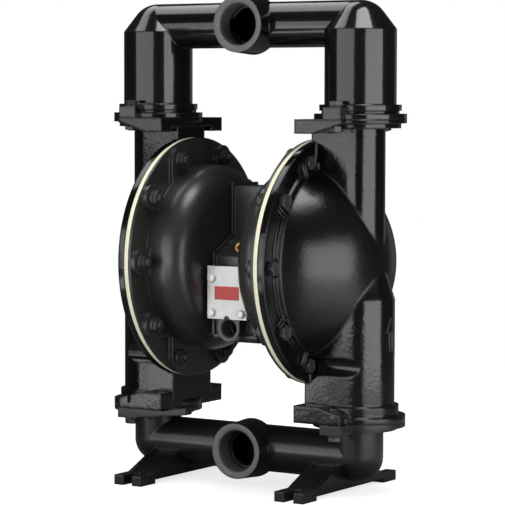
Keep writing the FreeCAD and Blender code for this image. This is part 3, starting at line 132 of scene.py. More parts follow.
class Coat:
    """A material's node tree while it is built."""

    def __init__(self, name: str) -> None:
        """Start an empty material of that name."""
        self.material = bpy.data.materials.new(name)
        self.material.use_nodes = True
        self.tree = self.material.node_tree
        self.tree.nodes.clear()

    def node(self, kind: str, settings: dict | None = None, inputs: dict | None = None) -> bpy.types.Node:
        """Add one node.

        Args:
            kind: The node's type.
            settings: Its own settings, set first.
            inputs: Values, signals or sockets for its input sockets, by socket name.

        Returns:
            The node.
        """
        node = self.tree.nodes.new(kind)
        for key, value in (settings or {}).items():
            setattr(node, key, value)
        for key, value in (inputs or {}).items():
            socket = node.inputs[key]
            if isinstance(value, Signal):
                self.tree.links.new(value.socket, socket)
            elif isinstance(value, bpy.types.NodeSocket):
                self.tree.links.new(value, socket)
            else:
                socket.default_value = value
        return node

    def place(self, stretch: Sequence[float] = (1, 1, 1),
              shift: Sequence[float] = (0, 0, 0)) -> bpy.types.NodeSocket:
        """The surface's own coordinates, stretched and shifted."""
        coordinates = self.node("ShaderNodeTexCoord")
        mapping = self.node(
            "ShaderNodeMapping",
            {"vector_type": "POINT"},
            {"Vector": coordinates.outputs["Object"], "Scale": stretch, "Location": shift},
        )
        return mapping.outputs["Vector"]

    def noise(self, scale: float, detail: float = 3.0, stretch: Sequence[float] = (1, 1, 1),
              shift: Sequence[float] = (0, 0, 0), roughness: float = 0.5) -> Signal:
        """Cloudy noise in the object's own coordinates.

        Args:
            scale: Waves per metre.
            detail: How many finer layers it has.
            stretch: How much denser it is along each axis.
            shift: Where the pattern starts.
            roughness: How strong the finer layers are.

        Returns:
            The noise, about 0.5 in the middle.
        """
        node = self.node(
            "ShaderNodeTexNoise",
            {"noise_dimensions": "3D"},
            {"Vector": self.place(stretch, shift), "Scale": scale, "Detail": detail, "Roughness": roughness},
        )
        return Signal(self.tree, node.outputs["Fac"])

    def pits(self, scale: float, shift: Sequence[float] = (0, 0, 0)) -> Signal:
        """Distance to scattered points, as the pits and grains of a sand casting have."""
        node = self.node(
            "ShaderNodeTexVoronoi",
            {"feature": "SMOOTH_F1"},
            {"Vector": self.place(shift=shift), "Scale": scale, "Smoothness": 0.6},
        )
        return Signal(self.tree, node.outputs["Distance"])

    def distance(self, centre: Sequence[float]) -> Signal:
        """How far the surface is from a point or from its mirror images in the pump's middle planes."""
        folded = self.node("ShaderNodeVectorMath", {"operation": "ABSOLUTE"}, {0: self.place()})
        ends = {0: folded.outputs["Vector"], 1: centre}
        away = self.node("ShaderNodeVectorMath", {"operation": "DISTANCE"}, ends)
        return Signal(self.tree, away.outputs["Value"])

    def blend(self, share: Signal, first: Sequence[float], second: Sequence[float]) -> bpy.types.NodeSocket:
        """Mix two colours by a share."""
        node = self.node("ShaderNodeMix", {"data_type": "RGBA", "blend_type": "MIX", "clamp_factor": True})
        self.tree.links.new(share.socket, node.inputs[0])
        for socket, colour in ((node.inputs[6], first), (node.inputs[7], second)):
            if isinstance(colour, bpy.types.NodeSocket):
                self.tree.links.new(colour, socket)
            else:
                socket.default_value = (*colour, 1.0)
        return node.outputs[2]

    def rounded(self, radius: float) -> bpy.types.NodeSocket:
        """The surface's normal, rounded over its sharp edges."""
        node = self.node("ShaderNodeBevel", {"samples": 6}, {"Radius": radius})
        return node.outputs["Normal"]

    def edges(self, normal: bpy.types.NodeSocket) -> Signal:
        """Where a rounded normal leaves the true one, which is on the edges."""
        geometry = self.node("ShaderNodeNewGeometry")
        node = self.node("ShaderNodeVectorMath", {"operation": "DOT_PRODUCT"})
        self.tree.links.new(normal, node.inputs[0])
        self.tree.links.new(geometry.outputs["Normal"], node.inputs[1])
        return 1 - Signal(self.tree, node.outputs["Value"])

    def bump(self, height: Signal, depth: float, normal: bpy.types.NodeSocket | None = None,
             strength: float = 1.0) -> bpy.types.NodeSocket:
        """A normal that follows a height.

        Args:
            height: The height, 0 to 1.
            depth: What a height of 1 stands for, in metres.
            normal: The normal it is laid over, if any.
            strength: How much of it shows.

        Returns:
            The normal.
        """
        inputs = {"Height": height, "Distance": depth, "Strength": strength}
        if normal is not None:
            inputs["Normal"] = normal
        return self.node("ShaderNodeBump", None, inputs).outputs["Normal"]

    def finish(self, **sockets: object) -> bpy.types.Material:
        """Close the tree with a Principled shader.

        Args:
            sockets: Values or links by socket name, with an underscore for each space.

        Returns:
            The finished material.
        """
        inputs = {key.replace("_", " "): value for key, value in sockets.items()}
        shader = self.node("ShaderNodeBsdfPrincipled", None, inputs)
        self.node("ShaderNodeOutputMaterial", None, {"Surface": shader.outputs["BSDF"]})
        return self.material


@dataclass(frozen=True)
class CastPaint:
    """Gloss paint over a sand casting: a bumped glossy film with a smooth dull haze over it."""

    name: str
    colour: tuple[float, float, float] = (0.0022, 0.0023, 0.0026)
    dust: tuple[float, float, float] = (0.0060, 0.0060, 0.0062)
    roughness: tuple[float, float] = (0.084, 0.096)
    haze: float = 0.18
    haze_roughness: float = 0.34
    grain_depth: float = 0.00010
    grain_scale: float = 520.0
    wave_depth: float = 0.0009
    edge_radius: float = 0.0030
    specular: float = 0.50
    crown_roughness: float = 0.0
    crown_centre: tuple[float, float, float] = (0.0514, 0.0, 0.306)
    crown_reach: tuple[float, float] = (0.1462, 0.1500)
    worn: tuple[float, float, float] = (0.030, 0.030, 0.031)

    def build(self) -> bpy.types.Material:
        """Paint with a cast grain, long waves, edges worn a little brighter and a duller crown."""
        coat = Coat(self.name)
        normal = coat.rounded(self.edge_radius)
        edge = coat.edges(normal).between(0.03, 0.25)
        wave = coat.noise(24.0, 2.0)
        clouds = coat.noise(9.0, 4.0, shift=(3.1, 1.7, 0.4))
        grain = coat.noise(self.grain_scale, 3.0, roughness=0.6)
        pits = coat.pits(self.grain_scale * 0.6)
        patchy = coat.noise(40.0, 3.0, shift=(0.7, 5.2, 2.2)).between(0.35, 0.65)
        height = grain * 0.6 + pits * 0.5
        base = coat.bump(wave, self.wave_depth, normal, 0.35)
        detail = coat.bump(height * patchy.spread(0.35, 1.0), self.grain_depth, base, 0.55)
        rough = clouds.between(0.3, 0.7).spread(*self.roughness) + grain * 0.06 - 0.03
        if self.crown_roughness:
            crown = 1 - coat.distance(self.crown_centre).between(*self.crown_reach)
            rough = rough + crown * self.crown_roughness
        colour = coat.blend(clouds.between(0.35, 0.7) * 0.7, self.colour, self.dust)
        colour = coat.blend(edge * 0.25, colour, self.worn)
        return coat.finish(Base_Color=colour, Roughness=rough, Specular_IOR_Level=self.specular,
                           Normal=detail, Coat_Weight=self.haze, Coat_Roughness=self.haze_roughness)


@dataclass(frozen=True)
class MachinedSteel:
    """Turned or ground metal with fine rings along one axis."""

    name: str
    colour: tuple[float, float, float] = (0.42, 0.42, 0.42)
    shade: tuple[float, float, float] = (0.25, 0.25, 0.26)
    roughness: tuple[float, float] = (0.24, 0.38)
    stretch: tuple[float, float, float] = (60.0, 1.0, 1.0)
    metallic: float = 1.0
    edge_radius: float = 0.0006

    def build(self) -> bpy.types.Material:
        """Metal with tool marks across one axis."""
        coat = Coat(self.name)
        normal = coat.rounded(self.edge_radius)
        marks = coat.noise(40.0, 4.0, stretch=self.stretch)
        stains = coat.noise(60.0, 3.0, shift=(2.0, 0.3, 1.1))
        colour = coat.blend(stains.between(0.3, 0.75) * 0.6 + marks * 0.2, self.colour, self.shade)
        rough = marks.spread(*self.roughness)
        detail = coat.bump(marks, 0.00004, normal, 0.5)
        return coat.finish(Base_Color=colour, Roughness=rough, Metallic=self.metallic, Normal=detail)


@dataclass(frozen=True)
class BrightPlate:
    """Pale zinc plate, satin and a little cloudy."""

    name: str
    colour: tuple[float, float, float] = (0.72, 0.72, 0.70)
    cloud: tuple[float, float, float] = (0.64, 0.64, 0.63)
    metallic: float = 0.15
    roughness: tuple[float, float] = (0.34, 0.46)
    edge_radius: float = 0.0006
    speck: tuple[float, float, float] = (0.36, 0.36, 0.35)

    def build(self) -> bpy.types.Material:
        """Plated sheet with a faint rolling grain."""
        coat = Coat(self.name)
        normal = coat.rounded(self.edge_radius)
        grain = coat.noise(220.0, 4.0, stretch=(1.0, 1.0, 0.06))
        clouds = coat.noise(70.0, 3.0, shift=(1.2, 0.1, 0.9))
        specks = coat.noise(900.0, 2.0).between(0.62, 0.75)
        colour = coat.blend(clouds.between(0.35, 0.7), self.colour, self.cloud)
        colour = coat.blend(specks * 0.25, colour, self.speck)
        rough = grain.spread(*self.roughness)
        detail = coat.bump(grain, 0.00003, normal, 0.4)
        return coat.finish(Base_Color=colour, Roughness=rough, Metallic=self.metallic,
                           Specular_IOR_Level=0.5, Normal=detail)


@dataclass(frozen=True)
class Elastomer:
    """Moulded rubber."""

    name: str
    colour: tuple[float, float, float]
    shade: tuple[float, float, float]
    roughness: tuple[float, float] = (0.42, 0.6)
    grain_depth: float = 0.00006

    def build(self) -> bpy.types.Material:
        """Rubber with a faint mottle and a satin skin."""
        coat = Coat(self.name)
        mottle = coat.noise(140.0, 4.0)
        fine = coat.noise(1500.0, 2.0)
        stains = coat.noise(30.0, 3.0, shift=(0.4, 2.3, 1.9)).between(0.4, 0.75)
        colour = coat.blend(mottle.between(0.3, 0.75) * 0.5 + stains * 0.35, self.colour, self.shade)
        rough = mottle.spread(*self.roughness)
        detail = coat.bump(fine + mottle * 0.5, self.grain_depth, None, 0.5)
        return coat.finish(Base_Color=colour, Roughness=rough, Specular_IOR_Level=0.4, Normal=detail)


@dataclass(frozen=True)
class BlackSteel:
    """Painted or blackened fasteners with edges rubbed bright."""

    name: str
    colour: tuple[float, float, float] = (0.022, 0.022, 0.022)
    rubbed: tuple[float, float, float] = (0.150, 0.148, 0.142)
    roughness: tuple[float, float] = (0.28, 0.44)
    edge_radius: float = 0.0009

    def build(self) -> bpy.types.Material:
        """Black finish, worn on its edges and spotted here and there."""
        coat = Coat(self.name)
        normal = coat.rounded(self.edge_radius)
        edge = coat.edges(normal).between(0.02, 0.3)
        wear = coat.noise(350.0, 4.0).between(0.35, 0.7)
        grain = coat.noise(1100.0, 3.0)
        colour = coat.blend(edge * wear * 0.75, self.colour, self.rubbed)
        rough = grain.spread(*self.roughness) - edge * 0.05
        detail = coat.bump(grain, 0.00006, normal, 0.5)
        return coat.finish(Base_Color=colour, Roughness=rough, Specular_IOR_Level=0.5, Normal=detail)


@dataclass(frozen=True)
class MouldedPlastic:
    """Plain moulded plastic."""

    name: str
    colour: tuple[float, float, float]
    shade: tuple[float, float, float]
    roughness: tuple[float, float] = (0.45, 0.6)
    grain: float = 700.0
    depth: float = 0.00008

    def build(self) -> bpy.types.Material:
        """Plastic with a fine spark-eroded texture."""
        coat = Coat(self.name)
        normal = coat.rounded(0.0008)
        fine = coat.noise(self.grain, 3.0)
        clouds = coat.noise(45.0, 3.0, shift=(0.9, 0.2, 4.1))
        colour = coat.blend(clouds.between(0.3, 0.7), self.colour, self.shade)
        rough = fine.spread(*self.roughness)
        detail = coat.bump(fine, self.depth, normal, 0.5)
        return coat.finish(Base_Color=colour, Roughness=rough, Specular_IOR_Level=0.45, Normal=detail)


@dataclass(frozen=True)
class Brass:
    """Turned brass, dulled in its hollows."""

    name: str
    colour: tuple[float, float, float] = (0.62, 0.37, 0.12)
    tarnish: tuple[float, float, float] = (0.30, 0.17, 0.06)

    def build(self) -> bpy.types.Material:
        """Metal with a brown tarnish away from its rubbed edges."""
        coat = Coat(self.name)
        normal = coat.rounded(0.0006)
        edge = coat.edges(normal).between(0.02, 0.3)
        stains = coat.noise(420.0, 4.0).between(0.35, 0.7)
        colour = coat.blend(stains * (1 - edge), self.colour, self.tarnish)
        rough = stains.spread(0.28, 0.46)
        detail = coat.bump(stains, 0.00004, normal, 0.4)
        return coat.finish(Base_Color=colour, Roughness=rough, Metallic=1.0, Normal=detail)


class Finish(Enum):
    """Every finish of the pump."""

    BODY = CastPaint("black_gloss_casting")
    DOME = CastPaint("black_gloss_dome", edge_radius=0.0045, roughness=(0.10, 0.15), haze=0.0,
                     grain_depth=0.00042, grain_scale=340.0, wave_depth=0.0012, crown_roughness=0.13)
    DRUM = CastPaint("black_satin_drum", colour=(0.0150, 0.0150, 0.0143), dust=(0.0240, 0.0240, 0.0226),
                     roughness=(0.27, 0.29), haze=0.55, haze_roughness=0.49, grain_depth=0.00016,
                     wave_depth=0.0006, specular=0.44)
    BASE = CastPaint("black_satin_base", colour=(0.0045, 0.0045, 0.0047), dust=(0.012, 0.012, 0.0122),
                     roughness=(0.21, 0.23), haze=0.42, haze_roughness=0.42, grain_depth=0.00016,
                     grain_scale=420.0, specular=0.29)
    FASTENER = BlackSteel("black_fasteners")
    COVER = BrightPlate("pale_zinc_plate")
    SCREW = BrightPlate("pale_zinc_screw", colour=(0.78, 0.78, 0.77), cloud=(0.66, 0.66, 0.65),
                        roughness=(0.24, 0.34))
    LABEL = MouldedPlastic("plain_red_plate", (0.52, 0.030, 0.024), (0.45, 0.026, 0.022),
                           roughness=(0.30, 0.42), grain=500.0, depth=0.00002)
    DIAPHRAGM = Elastomer("cream_elastomer", (0.84, 0.80, 0.62), (0.74, 0.69, 0.50))
    BALL = Elastomer("pale_elastomer_ball", (0.62, 0.58, 0.48), (0.52, 0.48, 0.38))
    SEAL = Elastomer("black_elastomer_seal", (0.012, 0.012, 0.012), (0.02, 0.02, 0.02))
    GASKET = Elastomer("dark_sheet_gasket", (0.020, 0.020, 0.019), (0.032, 0.031, 0.029), (0.6, 0.8))
    BEARING = MouldedPlastic("pale_bearing_plastic", (0.70, 0.68, 0.60), (0.62, 0.60, 0.52))
    MUFFLER = MouldedPlastic("black_moulded_silencer", (0.012, 0.012, 0.012), (0.018, 0.018, 0.018),
                             roughness=(0.5, 0.68), grain=420.0, depth=0.00025)
    PLATE = MachinedSteel("plated_clamp_plate", (0.52, 0.52, 0.50), (0.38, 0.38, 0.37))
    SEAT = MachinedSteel("stainless_valve_seat", (0.55, 0.55, 0.54), (0.42, 0.42, 0.42), (0.2, 0.34),
                         stretch=(1.0, 1.0, 60.0))
    ROD = MachinedSteel("ground_steel_rod", (0.56, 0.56, 0.56), (0.47, 0.47, 0.48), (0.16, 0.26))
    SPOOL = MachinedSteel("anodised_spool", (0.50, 0.50, 0.50), (0.40, 0.40, 0.41), (0.28, 0.38))
    PLUG = Brass("turned_brass_plug")
    FACED = MachinedSteel("turned_port_face", (0.130, 0.130, 0.128), (0.100, 0.100, 0.098), (0.5, 0.62),
                          stretch=(1.0, 1.0, 1.0), metallic=0.0)
    THREAD = MachinedSteel("cut_thread", (0.060, 0.060, 0.060), (0.030, 0.030, 0.031), (0.35, 0.5),
                           stretch=(1.0, 8.0, 1.0), metallic=0.4, edge_radius=0.0003)


class Workshop:
    """Makes each material once and hands it out."""

    def __init__(self) -> None:
        """Start with no material made."""
        self.made: dict[Finish, bpy.types.Material] = {}

    def material(self, finish: Finish) -> bpy.types.Material:
        """The material of a finish."""
        if finish not in self.made:
            self.made[finish] = finish.value.build()
        return self.made[finish]

    def dress(self, thing: bpy.types.Object, finish: Finish) -> None:
        """Give an object one finish all over."""
        thing.data.materials.clear()
        thing.data.materials.append(self.material(finish))


SHOP = Workshop()


@dataclass(frozen=True)
class Softbox:
    """An upright soft lamp that stands round the pump and faces it.

    Its azimuth and half angle are in degrees from straight in front, its lower and upper edge and its
    distance in metres, and its glow is 1 for a white card.
    """

    name: str
    azimuth: float
    half_angle: float
    low: float
    high: float
    glow: float
    distance: float = 2.8

    def build(self) -> bpy.types.Object:
        """Hang the lamp.

        Returns:
            The lamp, which glows as brightly as a white card lit `glow` times.
        """
        turn = math.radians(self.azimuth)
        middle = (self.low + self.high) / 2
        place = Vector((math.sin(turn) * self.distance, -math.cos(turn) * self.distance, middle))
        size = (2 * self.distance * math.tan(math.radians(self.half_angle)), self.high - self.low)
        return softbox(self.name, place, Vector((0, 0, middle)), size, self.glow)


def softbox(name: str, place: Sequence[float], aim: Sequence[float], size: tuple[float, float],
            glow: float) -> bpy.types.Object:
    """A soft rectangular lamp.

    Args:
        name: Its name.
        place: Where it stands.
        aim: What it points at.
        size: Its width and height.
        glow: Its brightness where it is seen in a mirror, 1 for white.

    Returns:
        The lamp.
    """
    data = bpy.data.lights.new(name, "AREA")
    data.shape = "RECTANGLE"
    data.size, data.size_y = size
    data.energy = glow * math.pi * size[0] * size[1]
    lamp = bpy.data.objects.new(name, data)
    lamp.visible_camera = False
    bpy.context.scene.collection.objects.link(lamp)
    way = Vector(aim) - Vector(place)
    lamp.matrix_world = Matrix.Translation(place) @ way.to_track_quat("-Z", "Y").to_matrix().to_4x4()
    return lamp


@dataclass(frozen=True)
class Overhead:
    """A soft lamp over the pump: its name, place, size and brightness."""

    name: str
    place: tuple[float, float, float]
    size: tuple[float, float]
    glow: float


@dataclass
class Stage:
    """Floor, lights and camera."""

    eye: tuple[float, float, float] = (1.7736, -2.8112, 0.5335)
    yaw: float = 0.579
    pitch: float = -0.061
    roll: float = 0.001
    focal_pixels: float = 2445.3
    centre_pixels: tuple[float, float] = (217.0, 240.9)
    photo_pixels: float = 505.0
    floor_centre: tuple[float, float] = (0.64, -0.1)
    floor_size: tuple[float, float] = (2.52, 3.2)
    # Bounds of the floor's pale patches, to the right and far in front; elsewhere its colour for reflections
    # and bounce light is a painted shade, darkest near the pump.
    floor_shadow_reach: tuple[float, float] = (0.22, 0.62)
    floor_right: tuple[float, float] = (0.02, 0.14)
    floor_front: tuple[float, float] = (0.70, 1.00)
    floor_back: tuple[float, float] = (-0.45, -0.12)
    floor_left: tuple[float, float] = (-0.25, 0.05)
    floor_painted_shade: tuple[float, float, float] = (0.16, 0.16, 0.16)
    floor_pale: tuple[float, float, float] = (0.95, 0.95, 0.95)
    floor_shade: tuple[float, float, float, float] = (0.45, 0.45, 0.45, 1.0)
    white_reach: tuple[float, float] = (0.35, 1.2)
    white_glow: tuple[float, float] = (0.74, 1.0)
    room: float = 0.03
    rear_wall: float = 0.25
    rear_reach: tuple[float, float] = (0.97, 0.999)
    fill: float = 0.32
    lamps: tuple[Softbox, ...] = (
        Softbox("left_high_softbox", -17.0, 30.5, 0.42, 1.0, 2.25, 1.7),
        Softbox("left_low_softbox", -10.6, 25.3, 0.02, 0.42, 3.3, 1.715),
        Softbox("left_near_softbox", -33.0, 11.0, 0.005, 0.11, 3.2, 0.80),
        Softbox("right_softbox", 75.0, 25.5, 0.02, 0.70, 3.7, 1.2),
    )
    ceiling: tuple[Overhead, ...] = (
        Overhead("top_softbox", (0.65, -0.30, 2.5), (1.1, 1.0), 7.5),
        Overhead("back_softbox", (-1.20, 0.25, 2.5), (2.2, 1.0), 3.1),
    )
    subject: tuple[float, float, float] = (0.0, 0.0, 0.33)

    def camera(self) -> bpy.types.Object:
        """A camera where the photograph was taken from.

        Returns:
            The camera.
        """
        data = bpy.data.cameras.new("photo_camera")
        data.sensor_width = 36.0
        data.lens = self.focal_pixels / self.photo_pixels * data.sensor_width
        data.shift_x = (self.photo_pixels / 2 - self.centre_pixels[0]) / self.photo_pixels
        data.shift_y = (self.centre_pixels[1] - self.photo_pixels / 2) / self.photo_pixels
        data.clip_start = 0.05
        data.clip_end = 60.0
        camera = bpy.data.objects.new("photo_camera", data)
        bpy.context.scene.collection.objects.link(camera)
        turn = Matrix.Rotation(self.yaw, 4, "Z") @ Matrix.Rotation(math.pi / 2 + self.pitch, 4, "X")
        camera.matrix_world = Matrix.Translation(self.eye) @ turn @ Matrix.Rotation(self.roll, 4, "Z")
        bpy.context.scene.camera = camera
        return camera

    def floor(self) -> bpy.types.Object:
        """A floor that shows white to the camera and keeps the shadow; for other rays its colour is a painted
        shade near the pump and everywhere but two pale patches.

        Returns:
            The floor.
        """
        work = bmesh.new()
        verts = bmesh.ops.create_grid(work, x_segments=1, y_segments=1, size=0.5)["verts"]
        bmesh.ops.scale(work, vec=(*self.floor_size, 1), verts=verts)
        bmesh.ops.translate(work, vec=(*self.floor_centre, 0), verts=verts)
        mesh = bpy.data.meshes.new("floor")
        work.to_mesh(mesh)
        work.free()
        floor = bpy.data.objects.new("floor", mesh)
        bpy.context.scene.collection.objects.link(floor)
        coat = Coat("pale_floor")
        far = coat.distance((0, 0, 0))
        ways = coat.node("ShaderNodeSeparateXYZ", None, {"Vector": coat.place()})
        across, back = (Signal(coat.tree, ways.outputs[axis]) for axis in "XY")
        # Painted shade in the floor's colour: dark near the pump, towards the back and to the left, and pale
        # only in the patches to the right and far in front.
        right = (across + back).between(*self.floor_right).math("MINIMUM", far.between(*self.floor_shadow_reach))
        right = right.math("MINIMUM", (0 - back).between(*self.floor_back))
        front = (0 - back).between(*self.floor_front).math("MINIMUM", (0 - across).between(*self.floor_left))
        painted_shade_tone = coat.blend(front.math("MAXIMUM", right), self.floor_painted_shade, self.floor_pale)
        pale = coat.node("ShaderNodeBsdfDiffuse", None, {"Color": painted_shade_tone})
        shade = coat.node("ShaderNodeBsdfDiffuse", None, {"Color": self.floor_shade})
        glow = far.between(*self.white_reach).spread(*self.white_glow)
        white = coat.node("ShaderNodeEmission", None, {"Color": (1, 1, 1, 1), "Strength": glow})
        seen = coat.node("ShaderNodeAddShader")
        coat.tree.links.new(shade.outputs["BSDF"], seen.inputs[0])
        coat.tree.links.new(white.outputs["Emission"], seen.inputs[1])
        path = coat.node("ShaderNodeLightPath")
        straight = Signal(coat.tree, path.outputs["Is Camera Ray"]).math(
            "MAXIMUM", Signal(coat.tree, path.outputs["Is Transmission Ray"]))
        mix = coat.node("ShaderNodeMixShader", None, {"Fac": straight})
        coat.tree.links.new(pale.outputs["BSDF"], mix.inputs[1])
        coat.tree.links.new(seen.outputs["Shader"], mix.inputs[2])
        coat.node("ShaderNodeOutputMaterial", None, {"Surface": mix.outputs["Shader"]})
        floor.data.materials.append(coat.material)
        return floor

    def world(self) -> None:
        """A white surround for the camera, a dim room for reflections, and soft light for the rest."""
        world = bpy.data.worlds.new("studio")
        bpy.context.scene.world = world
        world.use_nodes = True
        tree = world.node_tree
        tree.nodes.clear()
        path = tree.nodes.new("ShaderNodeLightPath")
        seen = Signal(tree, path.outputs["Is Camera Ray"]).math(
            "MAXIMUM", Signal(tree, path.outputs["Is Transmission Ray"]))
        glossy = Signal(tree, path.outputs["Is Glossy Ray"])
        coordinates = tree.nodes.new("ShaderNodeTexCoord")
        ways = tree.nodes.new("ShaderNodeSeparateXYZ")
        tree.links.new(coordinates.outputs["Generated"], ways.inputs["Vector"])
        rear = Signal(tree, ways.outputs["Y"]).between(*self.rear_reach)
        backdrop = rear.spread(self.room, self.rear_wall)
        mirrored = glossy * (backdrop - self.fill) + self.fill
        strength = seen * (1 - mirrored) + mirrored
        background = tree.nodes.new("ShaderNodeBackground")
        background.inputs["Color"].default_value = (1, 1, 1, 1)
        tree.links.new(strength.socket, background.inputs["Strength"])
        output = tree.nodes.new("ShaderNodeOutputWorld")
        tree.links.new(background.outputs["Background"], output.inputs["Surface"])

    def build(self) -> None:
        """Set the whole stage up."""
        self.floor()
        self.world()
        self.camera()
        for lamp in self.lamps:
            lamp.build()
        for lamp in self.ceiling:
            softbox(lamp.name, lamp.place, self.subject, lamp.size, lamp.glow)
        scene = bpy.context.scene
        scene.view_settings.view_transform = "Standard"
        log.info("stage: floor, surround, lamps and camera")


Outline = Sequence[tuple[float, float]]
Ring = Callable[[float], tuple[float, float]]
AXIS_HEIGHT = 306.0
COLUMN = 162.0
CHAMFER = math.tan(math.radians(30))


def circle(radius: float, height: float) -> Ring:
    """A round ring of a stack, by its radius and height."""
    return lambda angle: (radius, height)


def hexagon(width: float, height: float, chamfer: float = 0.0) -> Ring:
    """A six-sided ring of a stack.

    Args:
        width: Its width across the flats.
        height: Its height.
        chamfer: How steeply its corners are turned down; below zero, up.

    Returns:
        The ring.
    """
    def ring(angle: float) -> tuple[float, float]:
        """Radius and height at one angle."""
        radius = width / 2 / math.cos(angle % (math.pi / 3) - math.pi / 6)
        return radius, height - chamfer * (radius - 0.475 * width)
    return ring


def along(way: Sequence[float], at: Sequence[float], turn: float = 0.0) -> Matrix:
    """A placement whose Z lies along a way, turned about it by some degrees."""
    lie = Vector(way).to_track_quat("Z", "Y").to_matrix().to_4x4()
    return Matrix.Translation(at) @ lie @ Matrix.Rotation(math.radians(turn), 4, "Z")


class Form:
    """A mesh while it is shaped, in millimetres of the pump's own frame."""

    def __init__(self) -> None:
        """Start with nothing."""
        self.work = bmesh.new()

    def move(self, start: int, place: Matrix) -> None:
        """Put every vertex made since a count where a placement says."""
        bmesh.ops.transform(self.work, matrix=place, verts=list(self.work.verts)[start:])

    def stack(self, rings: Sequence[Ring], place: Matrix, hollow: bool = False, segments: int = 24) -> None:
        """Skin a stack of rings round the Z of a placement.

        Args:
            rings: The rings from one end to the other.
            place: Where the stack stands.
            hollow: Whether its last ring joins its first; if not, both ends are closed.
            segments: How many vertices go round.
        """
        start = len(self.work.verts)
        verts = bmesh.ops.create_circle(self.work, cap_ends=False, segments=segments, radius=1.0)["verts"]
        edges = first = list({edge for vert in verts for edge in vert.link_edges})
        for number, ring in enumerate(rings):
            if number:
                made = bmesh.ops.extrude_edge_only(self.work, edges=edges)["geom"]
                verts = [item for item in made if isinstance(item, bmesh.types.BMVert)]
                fresh = set(verts)
                edges = [item for item in made
                         if isinstance(item, bmesh.types.BMEdge) and fresh.issuperset(item.verts)]
            for vert in verts:
                angle = math.atan2(vert.co.y, vert.co.x)
                radius, height = ring(angle)
                vert.co = (radius * math.cos(angle), radius * math.sin(angle), height)
        if hollow:
            bmesh.ops.bridge_loops(self.work, edges=first + edges)
        else:
            bmesh.ops.contextual_create(self.work, geom=first)
            bmesh.ops.contextual_create(self.work, geom=edges)
        self.move(start, place)

    def spin(self, outline: Outline, place: Matrix, sweep: float = 360.0, steps: int = 96,
             rise: float = 0.0) -> None:
        """Turn a closed outline of radius and height round the Z of a placement.

        Args:
            outline: Its corners.
            place: Where the axis lies.
            sweep: How many degrees it turns.
            steps: In how many steps.
            rise: How far it climbs in all, as a thread does.
        """
        start = len(self.work.verts)
        verts = [self.work.verts.new((radius, 0, height)) for radius, height in outline]
        edges = [self.work.edges.new(ends) for ends in zip(verts, verts[1:] + verts[:1])]
        bmesh.ops.spin(self.work, geom=verts + edges, cent=(0, 0, 0), axis=(0, 0, 1),
                       angle=math.radians(sweep), steps=steps, dvec=(0, 0, rise / steps),
                       use_merge=sweep == 360.0 and not rise)
        rims = [edge for edge in self.work.edges if edge.is_boundary]
        bmesh.ops.holes_fill(self.work, edges=rims, sides=0)
        self.move(start, place)

    def bar(self, low: Sequence[float], high: Sequence[float], place: Matrix, drop: float = 0.0,
            rounding: float = 0.8) -> None:
        """A rounded bar whose top falls away along X.

        Args:
            low: Its lowest corner.
            high: Its highest corner.
            place: Where it goes.
            drop: How much lower its top is at the high end of X.
            rounding: The radius of its edges.
        """
        start = len(self.work.verts)
        size = Vector(high) - Vector(low)
        verts = bmesh.ops.create_cube(self.work, size=1.0)["verts"]
        bmesh.ops.scale(self.work, vec=size, verts=verts)
        bmesh.ops.translate(self.work, vec=Vector(low) + size / 2, verts=verts)
        for vert in verts:
            if vert.co.x > low[0] + size.x / 2 and vert.co.z > low[2] + size.z / 2:
                vert.co.z -= drop
        edges = list({edge for vert in verts for edge in vert.link_edges})
        bmesh.ops.bevel(self.work, geom=edges, offset=rounding, offset_type="OFFSET", segments=2, profile=0.5,
                        affect="EDGES", material=-1)
        self.move(start, place)

    def keep(self, name: str, finish: Finish, slot: str, replaces: Iterable[str] = (),
             ride: str | None = "pump", crease: float = 35.0) -> bpy.types.Object:
        """Turn the mesh into a piece of the pump.

        Args:
            name: The piece's name.
            finish: Its finish.
            slot: Not used.
            replaces: The solids it stands for.
            ride: The body it moves with, or None to leave it on its own.
            crease: The angle in degrees above which an edge stays sharp.

        Returns:
            The piece.
        """
        bmesh.ops.remove_doubles(self.work, verts=self.work.verts[:], dist=0.001)
        bmesh.ops.recalc_face_normals(self.work, faces=self.work.faces[:])
        bmesh.ops.scale(self.work, vec=(MM, MM, MM), verts=self.work.verts[:])
        mesh = bpy.data.meshes.new(name)
        self.work.to_mesh(mesh)
        self.work.free()
        mesh.shade_smooth()
        mesh.set_sharp_from_angle(angle=math.radians(crease))
        piece = bpy.data.objects.new(name, mesh)
        bpy.context.scene.collection.objects.link(piece)
        SHOP.dress(piece, finish)
        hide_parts(*replaces)
        if ride:
            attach(piece, ride)
        return piece


@dataclass
class Bolt:
    """A hexagon bolt: its head stands on Z = 0 and its shank points down."""

    width: float
    head: float
    radius: float
    length: float
    threaded: float
    pitch: float = 1.75

    def add(self, form: Form, place: Matrix) -> None:
        """Add the bolt to a form."""
        root = self.radius - 0.6 * self.pitch
        rings = [circle(root, -self.length), circle(root, 0.3 - self.length)]
        height = 0.9 - self.length
        while height < self.threaded - self.length:
            rings += [circle(self.radius, height), circle(root, height + self.pitch / 2)]
            height += self.pitch
        face = 0.46 * self.width
        rings += [circle(self.radius, height), circle(self.radius, 0), circle(face, 0), circle(face, 0.5)]
        rings += [hexagon(self.width, 0.6), hexagon(self.width, self.head, CHAMFER)]
        rings += [circle(0.475 * self.width, self.head), circle(0.36 * self.width, self.head)]
        rings += [circle(0.34 * self.width, self.head - 0.3)]
        form.stack(rings, place)


